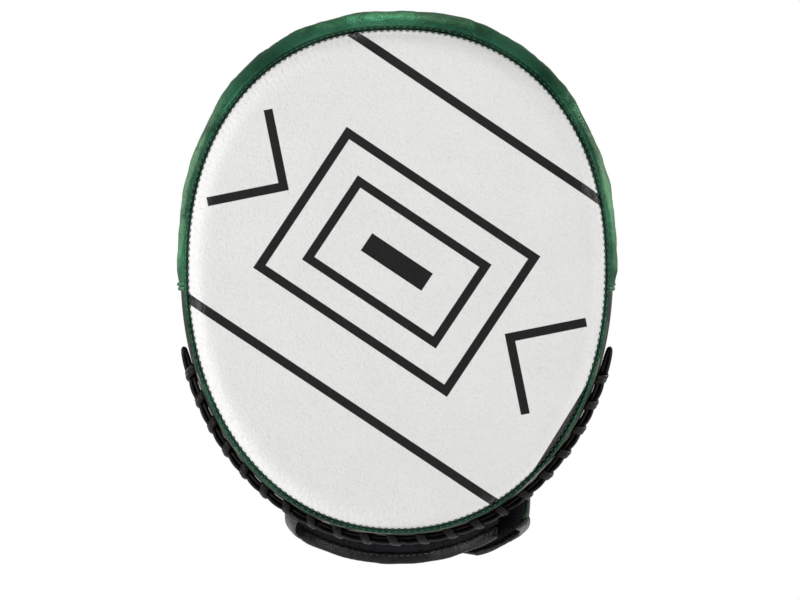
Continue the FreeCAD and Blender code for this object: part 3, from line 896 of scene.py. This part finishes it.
def wall(name, section, free, start, end, lift, finish, nodes):
    """One half of the side wall, with the creases that the stitching draws in it."""
    p = pad()
    count = int(rim_length(WALL_RADIUS, 0.0, start, end) / WALL_PITCH)
    angles = even_angles(count, WALL_RADIUS, 0.0, start, end, closed=False)
    lines = []
    for i, (radius, offset) in enumerate(section):
        depth = (radius - p.seam_radius) / (p.back_radius - p.seam_radius)
        creased = np.zeros(count)
        if free[0] <= i <= free[1]:
            for j, angle in enumerate(angles):
                spot = Vector((math.cos(angle), math.sin(angle), 0.35 * depth))
                broad = noise.noise(spot * 5.0)
                narrow = noise.noise(spot * 17.0 + Vector((3.1, 0, 0)))
                fine = noise.noise(spot * 46.0 + Vector((0, 7.7, 0)))
                creased[j] = lift * (0.9 * broad + 0.55 * narrow + 0.2 * fine)
            creased *= math.sin(math.pi * min(1.0, max(0.0, 0.12 + 0.8 * depth)))
        full = fullness(rim(angles, radius, 0.0)) if section is UPPER_SECTION and offset > 0.001 else 1.0
        lines.append(rim(angles, radius, offset * full + creased))
    bm = bmesh.new()
    woven(bm, lines, False, True)
    piece(name, bm, finish, replaces=nodes)


class MITT_OT_walls(bpy.types.Operator):
    """Side wall: pearl green round the top, camouflage round the bottom"""
    bl_idname = "mitt.walls"
    bl_label = "Side walls"

    def execute(self, context):
        p = pad()
        left, right = (angle_at(p.wall_seam_z, side, WALL_RADIUS, 0.0) for side in (-1, 1))
        wall("upper_wall", UPPER_SECTION, UPPER_FREE, right, left, 0.0011, "green",
             ["upper_gusset", "back_binding"])
        # The lower wall takes the darker camo copy, which is painted shade.
        wall("lower_wall", LOWER_SECTION, LOWER_FREE, left, right + 360, 0.0005, "camo_wall",
             ["lower_gusset"])
        self.turned_seam(-1, "left", 0.0024)
        self.turned_seam(1, "right", 0.0016)
        return {"FINISHED"}

    def turned_seam(self, side, word, size):
        """The ridge where the wall's halves meet: two rolled edges sewn together."""
        p = pad()
        radii = np.linspace(p.seam_radius + 0.0012, p.back_radius - 0.0016, 22)
        ends = np.sin(np.linspace(0.0, math.pi, 22)) ** 0.45
        bm = bmesh.new()
        for shift, share in ((0.0011, 1.0), (-0.0011, 0.82)):
            angles = [math.radians(angle_at(p.wall_seam_z + shift, side, radius, 0.0)) for radius in radii]
            points = [rim([angle], radius, 0.0004)[0] for angle, radius in zip(angles, radii)]
            outwards = [rim([angle], radius, 0.0104)[0] - point
                        for angle, radius, point in zip(angles, radii, points)]
            tube(bm, points, outwards, share * (0.0006 + size * ends), 0.0011 + 0.0003 * ends, 10)
        piece(f"wall_seam_{word}", bm, "green", replaces=[f"gusset_seam_{word}"])


BACK_RING = 480
BACK_UNDER = 0.46645
BACK_INSET = 0.012
BACK_EDGE = ((-0.0003, BACK_UNDER), (0.0, 0.4668), (0.0, 0.4676), (-0.0004, 0.46805), (-0.004, 0.46805),
             (-0.0062, 0.46795), (-0.0072, 0.46765), (-0.0082, 0.46795), (-BACK_INSET, 0.46805))
BACK_SCALES = (0.94, 0.86, 0.76, 0.65, 0.53, 0.41, 0.29, 0.17, 0.06)
BACK_UNDER_SCALES = (0.9, 0.7, 0.4, 0.06)
BINDING_END_Z = 0.048
BINDING_RADIUS = 0.4697
BINDING_OFFSET = -0.0052


class MITT_OT_back(bpy.types.Operator):
    """Palm-side leather panel and its stitched edge"""
    bl_idname = "mitt.back"
    bl_label = "Back panel"

    def execute(self, context):
        p = pad()
        angles = even_angles(BACK_RING, p.back_radius, 0.0)
        bm = bmesh.new()
        rim_shell(bm, angles, BACK_EDGE, BACK_UNDER, BACK_SCALES, BACK_UNDER_SCALES, BACK_INSET)
        piece("back_leather", bm, "camo", replaces=["back_panel"])
        left, right = (angle_at(BINDING_END_Z, side, p.back_radius, 0.0) for side in (-1, 1))
        bound = (BINDING_RADIUS, BINDING_OFFSET, right, left)
        count = int(rim_length(*bound) / context.scene.mitt_thread.stitch_pitch)
        upper = even_angles(count, *bound, closed=False)
        points = rim(upper, BINDING_RADIUS + 0.00015, BINDING_OFFSET)
        row = (points, rim(upper, 0.4750, BINDING_OFFSET) - points)
        sewn("binding_stitches", [row], finish="green_thread")
        return {"FINISHED"}


LACE_TOP_Z = 0.0215
LACE_RADIUS = 0.463
LACE_OFFSET = 0.0027
LACE_SAMPLES = 14
LACE_LOOP_ANGLE = 0.0135 / 0.110
# Each strand: its bend radius, its distance outwards at a knot and between knots, and the way it's pulled.
LACE_STRANDS = ((0.4602, 0.0015, 0.0019, 1.0), (0.4608, 0.0024, 0.0042, 1.0), (0.4628, 0.0018, 0.0030, 0.0),
                (0.4656, 0.0014, 0.0031, -1.0))
# A wrap's way over the rim: bend radius and distance outwards.
WRAP_ROUTE = ((0.4560, 0.0006), (0.4566, 0.0020), (0.4585, 0.0034), (0.4615, 0.0045), (0.4645, 0.0045),
              (0.4672, 0.0036), (0.4688, 0.0014), (0.4694, -0.0016), (0.4693, -0.0046), (0.4685, -0.0066))
# The two wraps of a knot: their place along the rim, their lean and how far they stand off.
WRAPS = ((-0.011, 0.044, 0.0), (0.007, 0.052, 0.0003))


class MITT_OT_lace(bpy.types.Operator):
    """Black leather thong that laces the lower edge, drawn into a knot at each hole"""
    bl_idname = "mitt.lace"
    bl_label = "Edge lace"

    def execute(self, context):
        count = context.scene.mitt_thread.lace_units * LACE_SAMPLES + 1
        start, end = (angle_at(LACE_TOP_Z, side, LACE_RADIUS, LACE_OFFSET) for side in (-1, 1))
        angles = even_angles(count, LACE_RADIUS, LACE_OFFSET, start, end + 360, closed=False)
        phase = np.arange(count) / LACE_SAMPLES
        jitter = np.array([noise.noise(Vector((i * 0.37, 5.5, 0.2))) for i in phase])
        open_share = np.abs(np.sin(phase * math.pi)) ** 0.55
        bm = bmesh.new()
        for radius, pinched, spread, sign in LACE_STRANDS:
            offset = pinched * (1 - open_share) + spread * open_share + 0.0004 * jitter
            depth = radius + 0.0006 * (1 - open_share) * sign + 0.0003 * jitter
            half_depth = 0.0018 - 0.0003 * (1 - open_share)
            rim_tube(bm, angles, depth, np.maximum(offset, 0.0015), half_depth, 0.0012, 8, False)
        piece("edge_lace_strands", bm, "lace", replaces=["edge_lace"])
        self.knots(angles[::LACE_SAMPLES])
        self.ends(angles[0], angles[-1])
        return {"FINISHED"}

    def knots(self, angles):
        """The wraps that go over the rim, from the wall's holes to the back panel's."""
        bm = bmesh.new()
        steps = np.linspace(0, len(WRAP_ROUTE) - 1, 22)
        radii, offsets = (np.interp(steps, range(len(WRAP_ROUTE)), column) for column in zip(*WRAP_ROUTE))
        for angle in angles:
            for shift, tilt, grow in WRAPS:
                turned = angle + shift + tilt * (steps / steps[-1] - 0.5)
                points = np.array([rim([a], r, o + grow)[0] for a, r, o in zip(turned, radii, offsets)])
                middle = rim([angle], 0.4625, -0.0020)[0]
                tube(bm, points, points - middle, 0.0009, 0.0017)
        piece("edge_lace_wraps", bm, "lace", replaces=["lace_knots"])

    def ends(self, first, last):
        """The doubled loop that starts the lace, and the one that ends it."""
        bm = bmesh.new()
        turn = np.linspace(-1.0, 1.0, 25) * math.pi / 2
        offset = 0.0029 + 0.0010 * np.sin(turn)
        for angle, away in ((first, -1), (last, 1)):
            along = angle + away * LACE_LOOP_ANGLE * (0.85 * np.cos(turn) ** 0.7)
            points = rim(along, 0.4620, offset)
            outwards = rim(along, 0.4720, offset) - points
            tube(bm, points, outwards, 0.0019, 0.0013)
        piece("edge_lace_ends", bm, "lace")


# ---------------------------------------------------------------- the hand's pockets

CROWN_POWER = 3.0
BASE_LIFT = 0.0022
ROW_PITCH = 0.0032
TRIM_STITCH = (0.0022, 0.0008)
HOOD_CHANNELS = (-0.0235, 0.0, 0.0235)
THUMB_MIDDLE_X = -0.0675
THUMB_LEAN = math.tan(math.radians(15.0))
THUMB_ROW_SHIFT = 0.0026


def panel_y(z, lift=0.0):
    """Depth of the palm-side surface at a height, lifted off it along its normal."""
    p = pad()
    return bend_y() + math.sqrt((p.back_radius + lift) ** 2 - (z - p.bend_z) ** 2)


def mouth(name, node, voxel, crease):
    """The bound mouth of a pocket, softly rounded."""
    mesh = soft_form([node], voxel, 3)
    wrinkled(mesh, 0.006, crease)
    finished(name, mesh, "rim", replaces=[node])


def held_share(mesh, free):
    """1 where a padded piece is sewn down, 0 where it's free to swell. free gives the opposite at a point."""
    return np.array([1.0 - free(point, normal) for point, normal in zip(coordinates(mesh), normals(mesh))])


class MITT_OT_hood(bpy.types.Operator):
    """Padded finger hood with its sewn channels, base piping and bound mouth"""
    bl_idname = "mitt.hood"
    bl_label = "Finger hood"

    def execute(self, context):
        mesh = soft_form(["hood_shell", "hood_padding"], 0.0030)
        mesh = swollen(mesh, held_share(mesh, self.free), 4.0, 0.0035)
        mesh = subdivided(mesh)
        self.press(mesh)
        wrinkled(mesh, 0.016, 0.0005, (1, 1, 0.6))
        hood = finished("finger_hood", mesh, "camo_hood",
                        replaces=["hood_shell", "hood_padding"])
        surface = surface_of(hood)
        heights = np.arange(HOOD_LOW.z + 0.003, HOOD_HIGH.z - 0.010, 0.0034)
        rows = [dropped(surface, [(self.channel_x(middle, z), z) for z in heights]) for middle in HOOD_CHANNELS]
        sewn("hood_channel_stitches", rows, (0.0024, 0.0009))
        self.base()
        mouth("hood_mouth_binding", "hood_binding", 0.0009, 0.0004)
        return {"FINISHED"}

    def channel_x(self, middle, z):
        """Place across of a channel at a height: the channels draw together under the crown."""
        step = min(0.999, max(0.0, (z - HOOD_LOW.z) / HOOD_REACH))
        return middle * (HOOD_HALF * (1 - step ** CROWN_POWER) ** (1 / CROWN_POWER)) / HOOD_HALF

    def free(self, point, normal):
        """Only the outer side swells, away from the base and the mouth."""
        x, y, z = point
        if normal[1] * 0.9 + abs(normal[0]) * 0.6 + normal[2] * 0.3 < 0.25 or y < panel_y(z) + 0.004:
            return 0.0
        outwards = x * normal[0] + y * normal[1]
        if outwards < 0:
            return 0.0
        return min(1.0, (z - HOOD_LOW.z) / 0.006)

    def press(self, mesh):
        """Draws the leather in along the sewn channels."""
        points = coordinates(mesh)
        out = normals(mesh)
        for i, (x, y, z) in enumerate(points):
            if out[i][1] < 0.05 or y < panel_y(z) + 0.006:
                continue
            for middle in HOOD_CHANNELS:
                away = x - self.channel_x(middle, z)
                depth = 0.0026 * math.exp(-(away / 0.0030) ** 2)
                fade = min(1.0, max(0.0, (z - HOOD_LOW.z) / 0.004))
                points[i] -= out[i] * depth * fade
        put_coordinates(mesh, points)

    def base(self):
        """The folded strip that sews the hood down to the back panel."""
        outline = []
        for turn in np.linspace(0.0, math.pi, 121):
            x = math.cos(turn)
            z = HOOD_LOW.z + (HOOD_REACH + 0.003) * math.sin(turn) ** (2 / CROWN_POWER)
            x = (HOOD_HALF + 0.0030) * math.copysign(abs(x) ** (2 / CROWN_POWER), x)
            outline.append((x, panel_y(z, BASE_LIFT), z))
        outline = spaced(outline, 0.0024)
        bm = bmesh.new()
        tube(bm, outline, REARWARDS, 0.0016, 0.0030, 10)
        piece("hood_base_strip", bm, "black")
        row = spaced(outline + np.array([0, 0.0016, 0]), ROW_PITCH)
        sewn("hood_base_stitches", [(row, REARWARDS)], TRIM_STITCH)


class MITT_OT_thumb(bpy.types.Operator):
    """Padded thumb sleeve with its ridge seam and bound mouth"""
    bl_idname = "mitt.thumb"
    bl_label = "Thumb sleeve"

    def execute(self, context):
        mesh = soft_form(["thumb_shell", "thumb_padding"], 0.0020)
        mesh = swollen(mesh, held_share(mesh, self.free), 4.0, 0.0020)
        wrinkled(mesh, 0.012, 0.0005)
        points = coordinates(mesh)
        out = normals(mesh)
        for i, (x, y, z) in enumerate(points):
            away = x - self.ridge_x(z)
            if out[i][1] > 0.2 and y > panel_y(z) + 0.010:
                points[i] -= out[i] * 0.0016 * math.exp(-(away / 0.0022) ** 2)
        put_coordinates(mesh, points)
        thumb = finished("thumb_sleeve", mesh, "camo_hood",
                         replaces=["thumb_shell", "thumb_padding"])
        surface = surface_of(thumb)
        heights = np.arange(THUMB_LOW.z + 0.010, THUMB_HIGH.z - 0.010, ROW_PITCH)
        rows = [dropped(surface, [(self.ridge_x(z) + shift, z) for z in heights])
                for shift in (-THUMB_ROW_SHIFT, THUMB_ROW_SHIFT)]
        sewn("thumb_ridge_stitches", rows, TRIM_STITCH)
        mouth("thumb_mouth_binding", "thumb_binding", 0.0008, 0.0003)
        return {"FINISHED"}

    def ridge_x(self, z):
        """The ridge runs up the middle of the leaning sleeve."""
        return THUMB_MIDDLE_X - THUMB_LEAN * (z - 0.004)

    def free(self, point, normal):
        """Only the outer side swells, away from the base and the mouth."""
        x, y, z = point
        outwards = (x - self.ridge_x(z)) * normal[0] + (y - 0.004) * normal[1]
        if outwards < 0 or y < panel_y(z) + 0.004:
            return 0.0
        return min(1.0, max(0.0, (z - THUMB_LOW.z - 0.004) / 0.006))


class MITT_OT_palm(bpy.types.Operator):
    """Mesh lining under the hand and the leather dome that the palm closes on"""
    bl_idname = "mitt.palm"
    bl_label = "Palm grip"

    def execute(self, context):
        mesh = soft_form(["palm_grip_cover", "palm_grip_foam"], 0.0018)
        mesh = swollen(mesh, held_share(mesh, self.free), 3.0, 0.0012)
        grip = finished("palm_grip", mesh, "black",
                        replaces=["palm_grip_cover", "palm_grip_foam"])
        middle = (GRIP_LOW + GRIP_HIGH) / 2
        reach = (GRIP_HIGH - GRIP_LOW) / 2
        ring = []
        for turn in np.linspace(0, 2 * math.pi, 97)[:-1]:
            x = middle.x + (reach.x + 0.0012) * math.cos(turn)
            z = middle.z + (reach.z + 0.0012) * math.sin(turn)
            ring.append((x, panel_y(z, BASE_LIFT), z))
        bm = bmesh.new()
        tube(bm, spaced(ring + ring[:1], 0.0022), REARWARDS, 0.0012, 0.0020)
        piece("palm_grip_edge", bm, "black")
        paint("palm_lining", "mesh")
        sewn("palm_lining_stitches", [(self.lining_edge(), REARWARDS)], TRIM_STITCH)
        return {"FINISHED"}

    def free(self, point, normal):
        """The dome swells, and its foot on the panel is held."""
        return 1.0 if point[1] > panel_y(point[2]) + 0.004 else 0.0

    def lining_edge(self):
        """Just inside the edge of the lining: two half circles joined by straight sides."""
        half, top, bottom = 0.0415, 0.102, -0.004
        points = []
        for start, middle in ((0, top), (math.pi, bottom)):
            for turn in np.linspace(start, start + math.pi, 60):
                points.append((half * math.cos(turn), 0.0, middle + half * math.sin(turn)))
        points.append(points[0])
        return np.array([(x, panel_y(z, 0.0013), z) for x, _, z in spaced(points, ROW_PITCH)])


# ---------------------------------------------------------------- the cuff

CUFF_Y = 0.002
CUFF_HALF_WIDTH = 0.0544
CUFF_HALF_DEPTH = 0.041
WING_THICKNESS = 0.0073
CUFF_ROUND = 0.097
CUFF_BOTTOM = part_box("wing_binding")[0].z
LINING_EDGE = 0.007
RIM_STITCH_INSET = 0.0044
TOP_RIM_MIDDLE = 0.0017
LAYER_TUCK = 0.0020
WING_TUCK_X = 0.040
WING_TUCK = 10.0
STRAP_RIM_GROWTH = 0.0004
RIDGE_DEPTH = 0.00045
RIDGE_PITCH = 0.0028


def oval_row(start_x, end_x, grow, height, sign=1.0):
    """A row of stitches round the back of the cuff, at a height that depends on x."""
    half_width = CUFF_HALF_WIDTH + grow
    points = []
    for turn in np.linspace(math.acos(start_x / half_width), math.acos(end_x / half_width), 160):
        x = half_width * math.cos(turn)
        points.append((x, CUFF_Y + (CUFF_HALF_DEPTH + grow) * math.sin(turn), height(x)))
    points = spaced(points, ROW_PITCH)
    out = np.stack([points[:, 0] / CUFF_HALF_WIDTH ** 2, (points[:, 1] - CUFF_Y) / CUFF_HALF_DEPTH ** 2,
                    np.zeros(len(points))], axis=1)
    return points, sign * out / np.linalg.norm(out, axis=1)[:, None]


def floor_under(x):
    """Height of the cuff's curved lower edge under some places along it."""
    return CUFF_BOTTOM + CUFF_ROUND - np.sqrt(CUFF_ROUND ** 2 - np.minimum(np.abs(x), 0.09) ** 2)


def root_lift(points, most):
    """How far the lower edge rises towards the sewn root, where the leather is cut round."""
    near = np.clip((0.014 - points[:, 1]) / 0.026, 0.0, 1.0)
    low = np.clip((-0.034 - points[:, 2]) / 0.022, 0.0, 1.2)
    return most * near ** 2 * low


def drawn_in(mesh):
    """Pulls the wing's sewn end in towards the hand, as its stitching does."""
    points = coordinates(mesh)
    past = np.maximum(0.0, -points[:, 0] - WING_TUCK_X) ** 2
    points[:, 0] += past * WING_TUCK
    points[:, 2] += root_lift(points, 0.010)
    put_coordinates(mesh, points)


def rounded_corner(mesh):
    """Takes the strap's lower outer corner in, so that it hangs in one curve."""
    points = coordinates(mesh)
    across = np.clip((points[:, 0] - 0.038) / 0.022, 0.0, 1.0)
    low = np.clip((-0.040 - points[:, 2]) / 0.025, 0.0, 1.2)
    points[:, 0] -= 0.0028 * across ** 2 * low ** 2
    points[:, 2] += root_lift(points, 0.0055)
    points[:, 2] += 0.22 * np.maximum(0.0, -0.064 - points[:, 2])
    put_coordinates(mesh, points)


def rooted(obj):
    """Bakes a cuff piece's placement into its mesh."""
    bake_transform(obj)


def cuff_piece(name, mesh, finish, nodes):
    """A finished piece of the cuff, its placement baked into its mesh."""
    obj = finished(name, mesh, finish, body=None, replaces=nodes)
    rooted(obj)
    return obj


class MITT_OT_wing(bpy.types.Operator):
    """Cuff wing: leather over foam, mesh inside, bound and stitched rims, loop patch"""
    bl_idname = "mitt.wing"
    bl_label = "Cuff wing"

    def execute(self, context):
        mesh = soft_form(["wing_shell", "wing_padding"], 0.0020)
        mesh = swollen(mesh, held_share(mesh, self.free), 2.0, 0.0006)
        drawn_in(mesh)
        wing = cuff_piece("wing_leather", mesh, "black",
                          ["wing_shell", "wing_padding"])
        mesh = sheet_form("wing_lining")
        points = coordinates(mesh)
        edge = points[:, 2] < floor_under(points[:, 0]) + LINING_EDGE
        points[edge, 2] -= LAYER_TUCK
        put_coordinates(mesh, points)
        drawn_in(mesh)
        cuff_piece("wing_mesh", mesh, "mesh", ["wing_lining"])
        mesh = soft_form(["wing_binding"], 0.0009)
        wrinkled(mesh, 0.014, 0.0007, (1, 1, 0.4))
        drawn_in(mesh)
        cuff_piece("wing_rim", mesh, "rim", ["wing_binding"])
        rows = []
        for grow, sign in ((-0.0008, -1.0), (WING_THICKNESS + 0.0008, 1.0)):
            for height in (self.low_row, self.high_row):
                rows.append(oval_row(CUFF_HALF_WIDTH * -0.93, 0.0485, grow, height, sign))
        rooted(sewn("wing_rim_stitches", rows, TRIM_STITCH, body=None))
        paint("loop_patch", "loop")
        rows = [oval_row(-0.0435, 0.0155, WING_THICKNESS + 0.0014, lambda x: height)
                for height in (-0.0275, -0.0525)]
        sewn("loop_patch_stitches", rows, (0.0022, 0.0007), body="cuff_wing")
        return {"FINISHED"}

    def low_row(self, x):
        return floor_under(x) + RIM_STITCH_INSET

    def high_row(self, x):
        return WING_TOP + TOP_RIM_MIDDLE

    def free(self, point, normal):
        """Only the outer leather swells, behind the wrist."""
        outwards = point[0] * normal[0] + (point[1] - CUFF_Y) * normal[1]
        return 1.0 if outwards > 0 and point[1] > 0.008 else 0.0


class MITT_OT_strap(bpy.types.Operator):
    """Wrist strap: camouflage leather outside, bound edges, hook patch and pull tab"""
    bl_idname = "mitt.strap"
    bl_label = "Wrist strap"

    def execute(self, context):
        layers = (("strap_shell", "strap_leather", "camo_strap", "camo_leather"),
                  ("strap_lining", "strap_mesh", "mesh", "black_mesh"))
        for node, name, finish, slot in layers:
            mesh = sheet_form(node)
            rounded_corner(mesh)
            cuff_piece(name, mesh, finish, [node])
        mesh = soft_form(["strap_binding"], 0.0008, 3)
        put_coordinates(mesh, coordinates(mesh) + normals(mesh) * STRAP_RIM_GROWTH)
        wrinkled(mesh, 0.012, 0.0004, (1, 1, 0.5))
        rounded_corner(mesh)
        cuff_piece("strap_rim", mesh, "rim", ["strap_binding"])
        paint("hook_patch", "hook")
        self.tab()
        return {"FINISHED"}

    def tab(self):
        """The pull tab, moulded with finger ridges."""
        mesh = soft_form(["strap_tab"], 0.0006, 2)
        points = coordinates(mesh)
        ridges = RIDGE_DEPTH * np.cos((points[:, 0] - TAB_LOW.x) * 2 * math.pi / RIDGE_PITCH)
        inside = (points[:, 2] > TAB_LOW.z + 0.003) & (points[:, 2] < TAB_HIGH.z - 0.003)
        put_coordinates(mesh, points + normals(mesh) * (ridges * inside)[:, None])
        finished("strap_pull_tab", mesh, "rubber", body="wrist_strap", replaces=["strap_tab"])


# ---------------------------------------------------------------- what the frame shows itself

class MITT_OT_frame_finish(bpy.types.Operator):
    """Finishes for the foam layers, linings and sewn anchors of the frame"""
    bl_idname = "mitt.frame_finish"
    bl_label = "Frame finishes"

    finishes = {
        "impact_foam": "dense_foam", "core_foam": "soft_foam", "back_foam": "soft_foam",
        "hood_lining": "mesh", "thumb_lining": "mesh", "wing_anchor": "black", "strap_anchor": "black",
    }

    def execute(self, context):
        for node, name in self.finishes.items():
            paint(node, name)
        rows = []
        for side in (-1, 1):
            for x, lowest in ((0.0665, -1.0), (0.0715, -0.024)):
                heights = [z for z in np.arange(-0.0305, -0.0095, 0.0030) if z > lowest]
                rows.append(([(side * x, panel_y(z, 0.0021), z) for z in heights], REARWARDS))
        sewn("anchor_stitches", rows, TRIM_STITCH)
        return {"FINISHED"}


# ---------------------------------------------------------------- the stage

FLOOR_HALF_WIDTH = 1.3
LIT_MIDDLE = Vector((0, 0, 0.06))
FILL_STRENGTH = 0.29


class MITT_OT_stage(bpy.types.Operator):
    """Pale floor, white surround, soft studio lights and the level camera"""
    bl_idname = "mitt.stage"
    bl_label = "Stage"

    lights = (("side_left", (-1.45, -0.60, 0.10), 0.9, 19.0), ("side_right", (1.45, -0.60, 0.15), 0.9, 12.0),
              ("top", (0.0, -0.55, 1.40), 0.9, 4.5), ("front", (-0.45, -2.3, 1.1), 1.0, 5.5),
              ("rear_left", (-1.05, 1.25, 0.35), 0.4, 5.0), ("rear_right", (1.05, 1.25, 0.35), 0.4, 5.0),
              ("rear_top", (0.0, 0.85, 1.35), 0.4, 6.0))

    def execute(self, context):
        stage = context.scene.mitt_stage
        bm = bmesh.new()
        bmesh.ops.create_grid(bm, x_segments=1, y_segments=1, size=2 * FLOOR_HALF_WIDTH)
        bmesh.ops.translate(bm, verts=bm.verts, vec=(0, 0, stage.floor_z))
        mesh = bpy.data.meshes.new("floor")
        bm.to_mesh(mesh)
        bm.free()
        floor = linked("floor", mesh)
        pale = Recipe("pale_floor", (0.88, 0.88, 0.88), 0.9,
                      Emission_Color=(1, 1, 1, 1), Emission_Strength=0.35)
        pale.colour(pale.mixed(pale.noise(3.0, 2.0), (0.62, 0.62, 0.62), (0.66, 0.66, 0.66)))
        mesh.materials.append(pale.material)
        self.surround(context.scene)
        # Each light: its name, place, width in metres and power in watts.
        for name, place, size, power in self.lights:
            self.soft_light(name, Vector(place), size, power)
        self.camera(context.scene, stage)
        context.scene.view_settings.view_transform = "Standard"
        return {"FINISHED"}

    def surround(self, scene):
        """A white room: seen as pure white, and a soft fill from every side."""
        world = bpy.data.worlds.new("white_room")
        world.use_nodes = True
        tree = world.node_tree
        seen, fill = tree.nodes["Background"], tree.nodes.new("ShaderNodeBackground")
        for background, strength in ((seen, 1.0), (fill, FILL_STRENGTH)):
            background.inputs["Color"].default_value = (1, 1, 1, 1)
            background.inputs["Strength"].default_value = strength
        path = tree.nodes.new("ShaderNodeLightPath")
        mix = tree.nodes.new("ShaderNodeMixShader")
        tree.links.new(path.outputs["Is Camera Ray"], mix.inputs[0])
        tree.links.new(fill.outputs[0], mix.inputs[1])
        tree.links.new(seen.outputs[0], mix.inputs[2])
        tree.links.new(mix.outputs[0], tree.nodes["World Output"].inputs["Surface"])
        scene.world = world

    def soft_light(self, name, place, size, power):
        data = bpy.data.lights.new(name, "AREA")
        data.shape = "SQUARE"
        data.size = size
        data.energy = power
        lamp = linked(name, data)
        lamp.location = place
        lamp.rotation_mode = "QUATERNION"
        lamp.rotation_quaternion = (LIT_MIDDLE - place).to_track_quat("-Z", "Y")

    def camera(self, scene, stage):
        data = bpy.data.cameras.new("camera")
        data.lens = stage.lens
        data.sensor_width = 36.0
        eye = linked("camera", data)
        eye.location = (stage.camera_across, -stage.camera_distance, stage.camera_height)
        eye.rotation_euler = (math.radians(90), 0, 0)
        scene.camera = eye


class MITT_PT_panel(bpy.types.Panel):
    """The mitt's sizes and pieces"""
    bl_label = "Focus mitt"
    bl_idname = "MITT_PT_panel"
    bl_space_type = "VIEW_3D"
    bl_region_type = "UI"
    bl_category = "Mitt"

    def draw(self, context):
        for name in GROUPS:
            group = getattr(context.scene, name)
            box = self.layout.box()
            for key in group.bl_rna.properties.keys():
                if key not in ("rna_type", "name"):
                    box.prop(group, key)
        for operator in OPERATORS:
            self.layout.operator(operator.bl_idname)


GROUPS = {"mitt_pad": MittPad, "mitt_thread": MittThread, "mitt_colours": MittColours, "mitt_stage": MittStage}
OPERATORS = (MITT_OT_face, MITT_OT_seam, MITT_OT_walls, MITT_OT_back, MITT_OT_lace, MITT_OT_hood, MITT_OT_thumb,
             MITT_OT_palm, MITT_OT_wing, MITT_OT_strap, MITT_OT_frame_finish, MITT_OT_stage)


CLASSES = (*GROUPS.values(), *OPERATORS, MITT_PT_panel)


def register():
    for cls in CLASSES:
        bpy.utils.register_class(cls)
    for name, group in GROUPS.items():
        setattr(bpy.types.Scene, name, PointerProperty(type=group))


def unregister():
    for name in GROUPS:
        delattr(bpy.types.Scene, name)
    for cls in reversed(CLASSES):
        bpy.utils.unregister_class(cls)


def main():
    register()
    for operator in OPERATORS:
        getattr(bpy.ops.mitt, operator.bl_idname.split(".")[1])()


if __name__ == "__main__":
    main()
